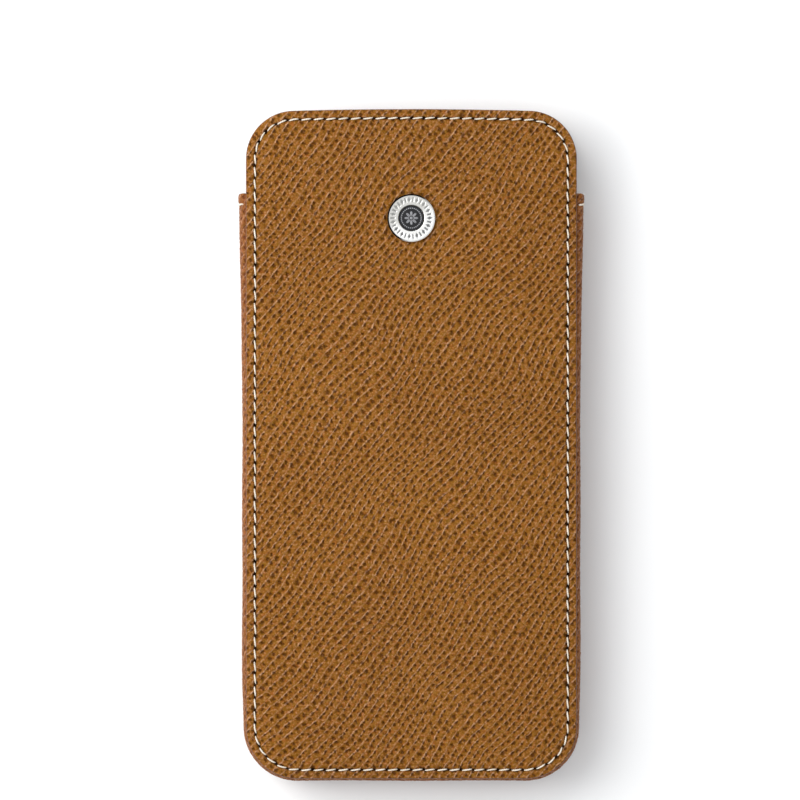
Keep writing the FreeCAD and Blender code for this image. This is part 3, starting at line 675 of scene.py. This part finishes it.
def seam_relief(depth, hole_depth, width):
    """How stitches pull a face down: a valley along the seam, and holes between the stitches, both
    with painted shade.
    """

    def relief(points, inset, to_hole, on_rings):
        from_seam = inset - SEAM_INSET
        valley = depth * bell(from_seam, width) * (0.6 + 0.4 * bell(to_hole, 0.8))
        swell = -0.3 * depth * bell(np.abs(from_seam) - 1.9 * width, 0.6 * width)
        hole = np.where(on_rings, bell(to_hole, HOLE_ALONG) * bell(from_seam, HOLE_ACROSS), 0)
        # painted shade along the seam under the thread, darkest in the holes
        valley_shade = SEAM_SHADE * np.where(on_rings, bell(from_seam, 0.3), 0)
        sunk = np.where(on_rings, valley + swell, 0) + hole_depth * hole
        return sunk, np.maximum(ease(hole, 0.2, 0.6), valley_shade)

    return relief


def pared(inset):
    """Depth of the panel's outer face below its flat, at a distance in from the edge."""
    slope = SKIVE_DEPTH * (1 - np.clip(inset / SKIVE_WIDTH, 0, 1)) ** 1.25
    into = np.clip(ROUNDED - inset, 0, ROUNDED)
    return slope + ROUNDED - np.sqrt(ROUNDED**2 - into**2)


def from_badge(points):
    return np.linalg.norm(points[:, :2] - BADGE_CENTRE, axis=1) - BADGE_RADIUS


def panel(name, node, outer_z, up, hide_shift=(0.0, 0.0, 0.0), badge=False):
    """Leather panel: grain all over, pared margin, stitch holes, rounded and painted edge."""
    insets = PANEL_FACE + [0.0] + UNDERSIDE
    depths = [pared(inset) for inset in PANEL_FACE] + [pared(0.0) + 0.05]
    depths += [LEATHER_THICK - 0.1, LEATHER_THICK, LEATHER_THICK]
    seam_sink = seam_relief(depth=0.13, hole_depth=0.42, width=0.4)

    def relief(points, inset, to_hole, on_rings):
        sunk, hole = seam_sink(points, inset, to_hole, on_rings)
        if badge:
            away = from_badge(points)
            sunk = sunk + BADGE_SINK * ease(-away, -0.55, 0.1) - BADGE_SWELL * bell(away - 0.9, 0.5)
        return sunk, hole

    points, faces, attributes, kinds, inset = slab(8, insets, depths, outer_z, up, relief)
    hide = np.column_stack([points[:, 0] * up, points[:, 1], np.zeros(len(points))]) + hide_shift
    # the grain is flatter along the seam, and faint at the edge and under the medallion
    press = attributes.pop("facing") * ease(inset, 0.05, 0.9) * (0.5 + 0.5 * ease(inset, 1.2, 3.0))
    if badge:
        press = press * (0.2 + 0.8 * ease(from_badge(points), -0.2, 0.8))
    attributes.update({"hide": hide, "press": press})
    skins = [LEATHER, EDGE_PAINT]
    piece = new_piece(name, node, points, faces, skins, attributes, kinds)
    press_grain(piece)


def lining(name, node, outer_z, up):
    """Suede lining of a panel: its edge runs under the gusset, and shows at the mouth."""
    insets = LINING_FACE + UNDERSIDE
    depths = LINING_FACE_DEPTHS + [LINING_THICK - 0.06, LINING_THICK, LINING_THICK]
    sink = seam_relief(depth=0.05, hole_depth=0.2, width=0.35)

    def narrow(seam):
        return LINING_DRAWN * ease(-seam[:, 1], 1.0 - GUSSET_TOP, 2.5 - GUSSET_TOP)

    def relief(points, inset, to_hole, on_rings):
        sunk, hole = sink(points, inset, to_hole, on_rings)
        wave = np.sin(points[:, 0] * 0.31 + 1.7 * up) * np.sin(points[:, 1] * 0.17 + 0.6)
        return sunk + 0.03 * wave * ease(inset, 2.2, 4.4), hole

    points, faces, _, kinds, _ = slab(4, insets, depths, outer_z, up, relief, narrow)
    skins = [SUEDE_LINING, EDGE_PAINT]
    piece = new_piece(name, node, points, faces, skins, material_of=kinds)


# ---- gusset

# mm that the web stands out past the panels, mm above the closed corners and mm below its top
BULGE_LOW = ((0.0, 0.65), (9.0, 0.88))
BULGE_HIGH = ((40.0, 0.88), (29.0, 1.06), (18.0, 1.28), (9.0, 1.47), (0.0, 1.6))

GUSSET_THICK, FLANGE_THICK, FLANGE_WIDTH = 0.8, 0.5, 4.3
GUSSET_HALF = (FACE_Z - BACK_Z) / 2 - LEATHER_THICK
GUSSET_HIDE = 400.0  # mm, where in the hide the strip is cut
FLANGE = (-FLANGE_WIDTH, -3.2, -2.3)  # mm out from the panel's edge
FOLD_OUT = 1.75  # mm from the foot of the fold out to the crown of the web
SQUARENESS = 2 / 3.4  # of the folds: 1 is round, and 0 is square

WEB_POINTS = 35
WEB = slice(len(FLANGE), len(FLANGE) + WEB_POINTS)
# the inner face needs only every second point of the web
INNER = np.r_[0 : WEB.start, WEB.start : WEB.stop : 2, WEB.stop : WEB.stop + len(FLANGE)][::-1]

HEM_DEPTH, HEM_SEAM, HEM_EXTRA = 3.2, 2.4, 0.4
HEM_SWELL, HEM_PINCH = 0.14, 0.16  # mm that the hem stands out, and its seam is drawn in
HEM_STITCHES = 3  # across the web
HALF_END, END_ROUND = 0.45, 0.94  # mm, half of the turned end, and how nearly its faces meet


def gusset_path(ends, spacing, close):
    """The panel's edge from one hem round the closed end to the other: points, outward
    directions, distance to the nearer end and from the first. close are each end's stations."""
    half, base = PANEL_HIGH[0], PANEL_LOW[1]
    centre_x, centre_y = half - RADIUS_LOW, base + RADIUS_LOW
    stretches = [
        straight((-half, ends), (-half, centre_y)),
        bend((-centre_x, centre_y), RADIUS_LOW, 2 * RIGHT_ANGLE, 3 * RIGHT_ANGLE),
        straight((-centre_x, base), (centre_x, base)),
        bend((centre_x, centre_y), RADIUS_LOW, -RIGHT_ANGLE, 0),
        straight((half, centre_y), (half, ends)),
    ]
    total = 2 * (ends - centre_y) + math.pi * RADIUS_LOW + 2 * centre_x
    margin = close[-1] + spacing / 2
    even = np.linspace(margin, total - margin, round(total / spacing))
    distances = np.r_[0.0, close, even, total - close[::-1], total]
    points, outward = follow(stretches, distances)
    return points, outward, np.minimum(distances, total - distances), distances


def bulge(height):
    """How far the web stands out past the panels: tight below, slack at the mouth."""
    corner = PANEL_LOW[1] + RADIUS_LOW
    stops = [(corner + above, out) for above, out in BULGE_LOW]
    stops += [(GUSSET_TOP - below, out) for below, out in BULGE_HIGH]
    return np.interp(height, *zip(*stops))


def sweep(points, outward, sections):
    """Carries closed sections (outward, and height above the middle) along a path."""
    plane = points[:, None, :] + outward[:, None, :] * sections[..., :1]
    return np.concatenate([plane, MIDDLE_Z + sections[..., 1:]], -1).reshape(-1, 3)


def gusset_outline(points, distance, to_end, pinch):
    """The section's outer line at each station, from one flange's tip over the web to the
    other's, and how far out on the web each of its points is."""
    stand = bulge(points[:, 1]) + 0.05 * np.sin(distance * 0.21) * ease(to_end, 4, 30)
    hem = ease(-to_end, -HEM_SEAM - 0.5, -HEM_SEAM + 0.5)
    stand = stand + HEM_SWELL * hem - HEM_PINCH * pinch
    fold = np.linspace(0, math.pi, WEB_POINTS)
    over = np.sign(np.cos(fold)) * np.abs(np.cos(fold)) ** SQUARENESS
    out = np.abs(np.sin(fold)) ** SQUARENESS
    flange, flat = np.tile(FLANGE, (len(points), 1)), np.ones(len(FLANGE))
    web = (stand[:, None] - FOLD_OUT) + FOLD_OUT * out[None]
    outward = np.concatenate([flange, web, flange[:, ::-1]], 1)
    height = np.tile(GUSSET_HALF * np.r_[flat, over, -flat], (len(points), 1))
    return np.stack([outward, height], -1), np.r_[0 * flat, out, 0 * flat]


def gusset_sections(outer, web_share, to_end):
    """Closed sections. The leather is thinner in the flanges, and double in the hem."""
    hem = ease(-to_end, -HEM_DEPTH - 0.1, -HEM_DEPTH + 0.1)
    thick = FLANGE_THICK + (GUSSET_THICK - FLANGE_THICK) * web_share[None]
    thick = thick + (HEM_EXTRA * hem)[:, None] * ease(web_share, 0.4, 0.9)
    run = unit(np.gradient(outer, axis=1))
    inward = np.stack([run[..., 1], -run[..., 0]], -1)
    to_middle = np.stack([np.full(outer.shape[:2], -1.0), -outer[..., 1] / GUSSET_HALF], -1)
    inward *= np.sign((inward * to_middle).sum(-1))[..., None]
    inner = outer + inward * thick[..., None]
    # the turned end is round: both faces close on each other over the last half thickness
    closing = 1 - np.sqrt(np.clip(1 - (1 - np.clip(to_end / HALF_END, 0, 1)) ** 2, 0, 1))
    share = closing[:, None, None] * END_ROUND
    middle = (outer + inner) / 2
    outer, inner = outer + (middle - outer) * share, inner + (middle - inner) * share
    return np.concatenate([outer, inner[:, INNER]], 1)


def gusset():
    """The strip, folded under both panels and hemmed at its ends: (piece, flat size in metres)."""
    close = np.array([0.05, 0.12, 0.22, 0.34, 0.48])
    points, outward, to_end, distance = gusset_path(GUSSET_TOP, 0.36, close)
    pinch = bell(to_end - HEM_SEAM, 0.32)
    outer, web_share = gusset_outline(points, distance, to_end, pinch)
    sections = gusset_sections(outer, web_share, to_end)
    stations, corners = sections.shape[:2]
    arc = np.r_[0, np.cumsum(np.linalg.norm(np.diff(outer[stations // 2], axis=0), axis=-1))]
    hide = np.zeros((stations, corners, 3))
    hide[..., 0] = np.r_[arc, arc[INNER]] + GUSSET_HIDE
    hide[..., 1] = distance[:, None]
    skin = np.r_[ease(web_share, 0.15, 0.6), np.zeros(len(INNER))]
    press = skin * (0.25 + 0.75 * ease(to_end, 0.4, 1.2))[:, None] * (1 - 0.6 * pinch)[:, None]
    press = press * 0.75
    holes = np.zeros((stations, corners))
    holes[:, WEB] = hem_holes(outer[:, WEB, 1], pinch)
    body, faces = sweep(points, outward, sections), flipped(capped(stations, corners))
    marks = {"hide": hide.reshape(-1, 3), "press": press.ravel(), "hole": holes.ravel()}
    name, node, slot = "gusset", "gusset_leather", "gusset_leather"
    piece = new_piece(name, node, body, faces, [SHADED_SIDE_LEATHER], marks)
    press_grain(piece)
    return piece, (arc[-1] * MM, distance[-1] * MM)


def hem_positions():
    """Heights above the case's middle where the hem's stitches enter the web."""
    return np.linspace(HEM_FOLD - GUSSET_HALF, GUSSET_HALF - HEM_FOLD, HEM_STITCHES + 1)


def hem_holes(height, pinch):
    # painted shade in the hem's stitch holes
    near = np.min(np.abs(height[..., None] - hem_positions()), axis=-1)
    return ease(bell(near, 0.26) * pinch[:, None], 0.3, 0.8)


def gusset_lining():
    """Suede strip behind the gusset's web, which ends under the turned hems."""
    low, high = box_mm("gusset_lining")
    points, outward, _, distance = gusset_path(high[1], 0.9, np.array([0.1, 0.25]))
    stand = bulge(points[:, 1]) - GUSSET_THICK - 0.08
    half = (high[2] - low[2]) / 2
    heights = np.linspace(-half, half, 13)
    round_off = 0.12 * (1 - ease(half - np.abs(heights), 0.0, 0.5))
    outer = np.stack(np.broadcast_arrays(stand[:, None], heights), -1)
    inner = outer.copy()
    ripple = 0.03 * np.sin(distance[:, None] * 0.7 + heights * 0.5)
    inner[..., 0] -= LINING_THICK - round_off - ripple
    sections = np.concatenate([outer, inner[:, ::-1]], 1)
    body, faces = sweep(points, outward, sections), capped(*sections.shape[:2])
    name, node, slot = "gusset_suede", "gusset_lining", "suede_lining"
    return new_piece(name, node, body, faces, [SUEDE_LINING])


# ---- thread

SLANT = math.radians(8)  # of each stitch against its seam
STITCH_REACH, HEM_REACH = 0.76, 0.96  # how much of its pitch a stitch spans
STITCH_TURNS, SAMPLES = 1.5, 17  # twists and points along a stitch
TENSION_SPREAD, SWAY_SPREAD = 0.12, 0.03  # how stitches differ in height, and sideways in mm
YARNS, YARN_SIDES = 3, 7
YARN_RADIUS, YARN_OFFSET = 0.26, 0.235  # against the thread's thickness
YARN_END = 0.52  # thickness where a stitch ends, against its middle
HEM_THREAD = 0.45  # mm
HEM_FOLD = 1.6  # mm, radius of the folds that the outer stitches go round


def plies(paths, up, thickness):
    """Twists yarns along each of many paths (paths, samples, 3): the points and faces of all."""
    samples = paths.shape[1]
    run = unit(np.gradient(paths, axis=1))
    side = unit(np.cross(run, up))
    lift = np.cross(side, run)
    t = np.linspace(0, 1, samples)
    taper = (YARN_END + (1 - YARN_END) * np.sqrt(np.sin(math.pi * t)))[None, :, None]
    yarn = thickness * YARN_RADIUS * taper[..., None]
    offset = thickness * YARN_OFFSET * taper
    start = RNG.uniform(0, FULL_TURN, (len(paths), 1))
    angle = np.linspace(0, FULL_TURN, YARN_SIDES, endpoint=False)
    ring = np.cos(angle)[:, None] * side[..., None, :] + np.sin(angle)[:, None] * lift[..., None, :]
    tubes = []
    for ply in range(YARNS):
        twist = FULL_TURN * (STITCH_TURNS * t[None] + ply / YARNS) + start
        around = np.cos(twist)[..., None] * side + np.sin(twist)[..., None] * lift
        centre = paths + offset * around
        tubes.append(centre[..., None, :] + yarn * ring)
    tubes = np.concatenate(tubes)
    size = samples * YARN_SIDES
    firsts = np.arange(len(tubes)) * size
    sides = (np.array(lattice(samples, YARN_SIDES)) + firsts[:, None, None]).reshape(-1, 4)
    caps = np.array(capped(samples, YARN_SIDES)[-2:]) + firsts[:, None, None]
    return tubes.reshape(-1, 3), sides.tolist() + caps.reshape(-1, YARN_SIDES).tolist()


def stitch_rise(t):
    """A stitch's height along it: it dives into its holes, and lies level between them."""
    return 1 - np.abs(2 * t - 1) ** 5


def seam_stitches(name, node, surface_z, up, thickness, lift, dip):
    """One side of a seam: each stitch comes out of a hole, lies down and goes into the next."""
    seam, outward, pitch = seam_line(2)
    starts, middles, across = seam[0::2], seam[1::2], outward[1::2]
    ends = np.roll(starts, -1, axis=0)
    t = np.linspace(0, 1, SAMPLES)
    arch, rise = np.sin(math.pi * t), stitch_rise(t)
    bow = middles - (starts + ends) / 2
    slant = -math.tan(SLANT) * (t - 0.5) * pitch * STITCH_REACH
    place = (starts + ends)[:, None] / 2
    for way, amount in ((ends - starts, (t - 0.5) * STITCH_REACH), (bow, arch), (across, slant)):
        place = place + way[:, None] * amount[:, None]
    tension = RNG.normal(1.0, TENSION_SPREAD, (len(starts), 1))
    sway = RNG.normal(0, SWAY_SPREAD, (len(starts), 1))
    place = place + across[:, None] * (sway * arch[None])[..., None]
    height = surface_z + up * (lift * tension * rise[None] - dip * (1 - rise[None]))
    paths = np.concatenate([place, height[..., None]], -1)
    points, faces = plies(paths, np.array([0, 0, float(up)]), thickness)
    new_piece(name, node, points, faces, [WAXED_THREAD])


def hem_stitches(name, node, side):
    """Stitches across a hem: over the web and both folds outside, and on the lining side."""
    y = GUSSET_TOP - HEM_SEAM
    stops = hem_positions()
    web = box_mm("gusset_leather")[1][0] - 0.05
    inner = web - GUSSET_THICK - HEM_EXTRA
    t = np.linspace(0, 1, SAMPLES)
    rise = stitch_rise(t)
    paths = []
    for low, top in zip(stops[:-1], stops[1:]):
        z = MIDDLE_Z + low + (top - low) * (0.5 + HEM_REACH * (t - 0.5))
        slant = y + math.tan(SLANT) * (t - 0.5) * (top - low)
        paths.append(np.stack([side * (web + 0.02 * rise - 0.4 * (1 - rise)), slant, z], -1))
        paths.append(np.stack([side * (inner - 0.06 * rise + 0.35 * (1 - rise)), slant, z], -1))
    for way in (-1, 1):
        angle = np.radians(np.linspace(4, 74, SAMPLES))
        radius = HEM_FOLD + 0.02 * rise - 0.35 * (1 - rise)
        x = web - HEM_FOLD + radius * np.cos(angle)
        z = MIDDLE_Z + way * (GUSSET_HALF - HEM_FOLD + radius * np.sin(angle))
        paths.append(np.stack([side * x, y - side * 0.3 * (t - 0.5), z], -1))
    points, faces = plies(np.array(paths), np.array([0.0, 1.0, 0.0]), HEM_THREAD)
    new_piece(name, node, points, faces, [WAXED_THREAD])


# ---- medallion

RING_COLUMNS, DISC_COLUMNS = 480, 256  # points round each
RING_FLAT, DISC_FLAT = 56, 64  # points across each
RIM_BEVEL = 0.3  # mm
RING_MARKS = 15  # engraved lozenges, with a short bar between each two
LOZENGE, BAR = (0.36, 0.62), (0.17, 0.5)  # mm, half sizes round the ring and across it
# the outer rim is painted dark on its upper-left side, as shade in the gap round the ring
MARK_DEPTH, MARK_DARK, RIM_SHADE = 0.07, 0.85, 1.4
RIM_SHADE_SIDE, TARNISH_SIDE = math.radians(150), math.radians(118)

PETALS, BEADS = 8, 32
PETAL_REACH, PETAL_WAIST = 1.52, 0.32  # mm, and the notch between two petals against it
BOSS_RADIUS, BEAD_RADIUS, BEAD_CIRCLE = 0.34, 0.15, 2.12  # mm
DISC_RELIEF, DISC_SINK = 0.1, 0.05  # mm


def turned(radii, heights, columns, relief):
    """Points turned about the medallion's axis, raised by relief(radius, angle), and its mask."""
    angle = np.linspace(0, FULL_TURN, columns, endpoint=False)
    radius, turn = np.meshgrid(radii, angle, indexing="ij")
    height, mask = relief(radius, turn)
    x = BADGE_CENTRE[0] + radius * np.cos(turn)
    y = BADGE_CENTRE[1] + radius * np.sin(turn)
    z = FACE_Z + np.array(heights)[:, None] + height
    return np.stack([x, y, z], -1).reshape(-1, 3), mask.reshape(-1)


def to_marks(angle, radius, count):
    """How far it is round the circle to the nearest of count marks, and of the gaps between."""
    phase = (angle * count / FULL_TURN) % 1.0
    shares = np.minimum(phase, 1 - phase), np.abs(phase - 0.5)
    return (share * FULL_TURN * radius / count for share in shares)


def medallion_ring():
    """Silver ring: rounded rim with painted shade on one side, engraved band and a breath of
    tarnish.
    """
    disc_low, disc_high = box_mm("medallion_inlay")
    rise = BADGE_HIGH[2] - FACE_Z
    hole = (disc_high[0] - disc_low[0]) / 2 + 0.04
    shoulder, turn = BADGE_RADIUS - RIM_BEVEL, np.linspace(0, RIGHT_ANGLE, 7)
    flat = np.linspace(shoulder - 0.04, hole + 0.1, RING_FLAT)
    radii = np.r_[BADGE_RADIUS - 0.35, BADGE_RADIUS - 0.02, shoulder + RIM_BEVEL * np.cos(turn)]
    radii = np.r_[radii, flat, hole + 0.03, hole, hole, hole + 0.5]
    heights = np.r_[-0.2, -0.2, rise - RIM_BEVEL + RIM_BEVEL * np.sin(turn)]
    heights = np.r_[heights, np.full(RING_FLAT, rise), rise - 0.04, rise - 0.12, 0.35, 0.35]
    band = (BADGE_RADIUS + hole) / 2 - 0.02

    def relief(radius, angle):
        from_mark, from_gap = to_marks(angle, radius, RING_MARKS)
        off = np.abs(radius - band)
        lozenge = from_mark / LOZENGE[0] + off / LOZENGE[1]
        bar = np.maximum(from_gap / BAR[0], off / BAR[1])
        cut = np.maximum(1 - ease(lozenge, 0.8, 1.1), 1 - ease(bar, 0.75, 1.15))
        # painted shade: the rim's upper-left side is dark, for the shadowed gap round the ring
        rim = ease(radius, BADGE_RADIUS - 0.4, BADGE_RADIUS - 0.28)
        rim = rim * ease(np.cos(angle - RIM_SHADE_SIDE), -0.5, 0.2)
        return -MARK_DEPTH * cut, np.maximum(MARK_DARK * cut, RIM_SHADE * rim)

    points, cut = turned(radii, heights, RING_COLUMNS, relief)
    facing = np.arctan2(points[:, 1] - BADGE_CENTRE[1], points[:, 0] - BADGE_CENTRE[0])
    tarnish = ease(np.cos(facing - TARNISH_SIDE), -0.25, 0.35)
    # the marks, but not the rim's painted shade, are paler under the tarnish
    cut = np.where(cut < 0.9, cut * (1 - 0.35 * tarnish), cut)
    faces = flipped(lattice(len(radii), RING_COLUMNS, closed=True))
    marks = {"engraved": cut, "tarnish": tarnish}
    name, node, slot = "medallion_band", "medallion_ring", "silver_plate"
    new_piece(name, node, points, faces, [SILVER_PLATE], marks)


def medallion_inlay():
    """Dark disc with a plain eight-petalled rosette in low relief inside a ring of beads."""
    low, high = box_mm("medallion_inlay")
    radius = (high[0] - low[0]) / 2
    top, base = high[2] - FACE_Z, low[2] - FACE_Z
    flat = np.linspace(0.02, radius - 0.06, DISC_FLAT)
    radii = np.r_[flat, radius - 0.015, radius, radius, 0.02]
    heights = np.r_[np.full(DISC_FLAT, top), top - 0.01, top - 0.06, base, base]

    def relief(r, angle):
        lobe = np.abs(np.cos(angle * PETALS / 2))
        edge = PETAL_REACH * (PETAL_WAIST + (1 - PETAL_WAIST) * lobe)
        petal = ease(edge - r, 0.0, 0.12) * ease(r, 0.42, 0.55)
        swing = (angle * PETALS / 2 + RIGHT_ANGLE) % math.pi - RIGHT_ANGLE
        vein = 1 - 0.7 * bell(r * np.sin(swing) / PETALS * 2, 0.05)
        boss = np.sqrt(np.clip(1 - (r / BOSS_RADIUS) ** 2, 0, 1))
        _, off = to_marks(angle, r, BEADS)
        bead = np.clip(1 - (off**2 + (r - BEAD_CIRCLE) ** 2) / BEAD_RADIUS**2, 0, 1)
        raised = np.maximum.reduce([petal * vein * (0.55 + 0.45 * lobe), boss, np.sqrt(bead)])
        inside = ease(radius - r, 0.05, 0.12)
        return DISC_RELIEF * raised * inside - DISC_SINK * inside, raised * inside

    points, raised = turned(radii, heights, DISC_COLUMNS, relief)
    faces, marks = capped(len(radii), DISC_COLUMNS), {"raised": raised}
    name, node, slot = "medallion_disc", "medallion_inlay", "dark_enamel"
    new_piece(name, node, points, faces, [DARK_ENAMEL], marks)


# ---- the scene

FLOOR_SIZE = 6.0  # metres
WALLS_LOW, WALLS, CEILING = rgb(148, 150, 154), rgb(252, 254, 255), rgb(148, 150, 156)
OVERHEAD = (1.12, 1.12, 1.14, 1.0)
# where one tone of the studio gives way to the next, by the sine of the elevation
WALLS_FROM, CEILING_FROM, OVERHEAD_FROM = (-0.05, 0.45), (0.72, 0.95), (0.955, 0.985)


def make_floor():
    """Paper that just touches the lowest ridges of the back panel's grain."""
    lowest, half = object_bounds()[0][2], FLOOR_SIZE / 2
    corners = [(-half, -half, 0), (half, -half, 0), (half, half, 0), (-half, half, 0)]
    mesh = bpy.data.meshes.new("floor")
    mesh.from_pydata(corners, [], [(0, 1, 2, 3)])
    mesh.materials.append(FLOOR_PAPER)
    floor = placed("floor", mesh)
    floor.location.z = lowest


def make_world():
    """A pale studio: white walls, a greyer ceiling, and a lit panel straight overhead."""
    world = bpy.data.worlds.new("studio")
    world.use_nodes = True
    tree = Tree(world.node_tree)
    background = world.node_tree.nodes["Background"]
    height = tree.part(tree.coordinates("Generated"), 2)
    glow = tree.mix(tree.step(height, *WALLS_FROM), WALLS_LOW, WALLS)
    glow = tree.mix(tree.step(height, *CEILING_FROM), glow, CEILING)
    glow = tree.mix(tree.step(height, *OVERHEAD_FROM), glow, OVERHEAD)
    world.node_tree.links.new(glow, background.inputs["Color"])
    bpy.context.scene.world = world


make_camera()
make_world()
area_light("key", azimuth=150, elevation=43, distance=0.62, size=0.65, power=KEY_POWER)
area_light("side", azimuth=172, elevation=38, distance=0.3, size=0.2, power=SIDE_POWER)
bpy.context.scene.view_settings.view_transform = "Standard"

FRONT_INSIDE, BACK_INSIDE = box_mm("front_lining")[0][2], box_mm("back_lining")[1][2]
panel("front_panel", "front_leather", FACE_Z, 1, badge=True)
panel("back_panel", "back_leather", BACK_Z, -1, BACK_HIDE)
lining("front_suede", "front_lining", FRONT_INSIDE, -1)
lining("back_suede", "back_lining", BACK_INSIDE, 1)
strip, cut_size = gusset()
# the suede strip behind it is narrower than a sheet of its own may be
suede_strip = gusset_lining()

SEAM_DROP = pared(SEAM_INSET)
for name, node, surface, up, thickness, lift, dip in (
    ("front_stitches", "front_needle_thread", FACE_Z - SEAM_DROP, 1, 0.38, 0.06, 0.3),
    ("back_stitches", "back_needle_thread", BACK_Z + SEAM_DROP, -1, 0.38, 0.0, 0.25),
    ("front_inner_stitches", "front_bobbin_thread", FRONT_INSIDE, -1, 0.34, 0.05, 0.15),
    ("back_inner_stitches", "back_bobbin_thread", BACK_INSIDE, 1, 0.34, 0.05, 0.15),
):
    seam_stitches(name, node, surface, up, thickness, lift, dip)
hem_stitches("right_hem_stitches", "right_hem_thread", 1)
hem_stitches("left_hem_stitches", "left_hem_thread", -1)

medallion_ring()
medallion_inlay()
for node, finish in {
    "front_board": FIBRE_BOARD,
    "back_board": FIBRE_BOARD,
    "medallion_rivet": RIVET_BRASS,
    "medallion_washer": RIVET_BRASS,
}.items():
    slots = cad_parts[node].data.materials
    slots.clear()
    slots.append(finish)

bpy.context.view_layer.update()
make_floor()
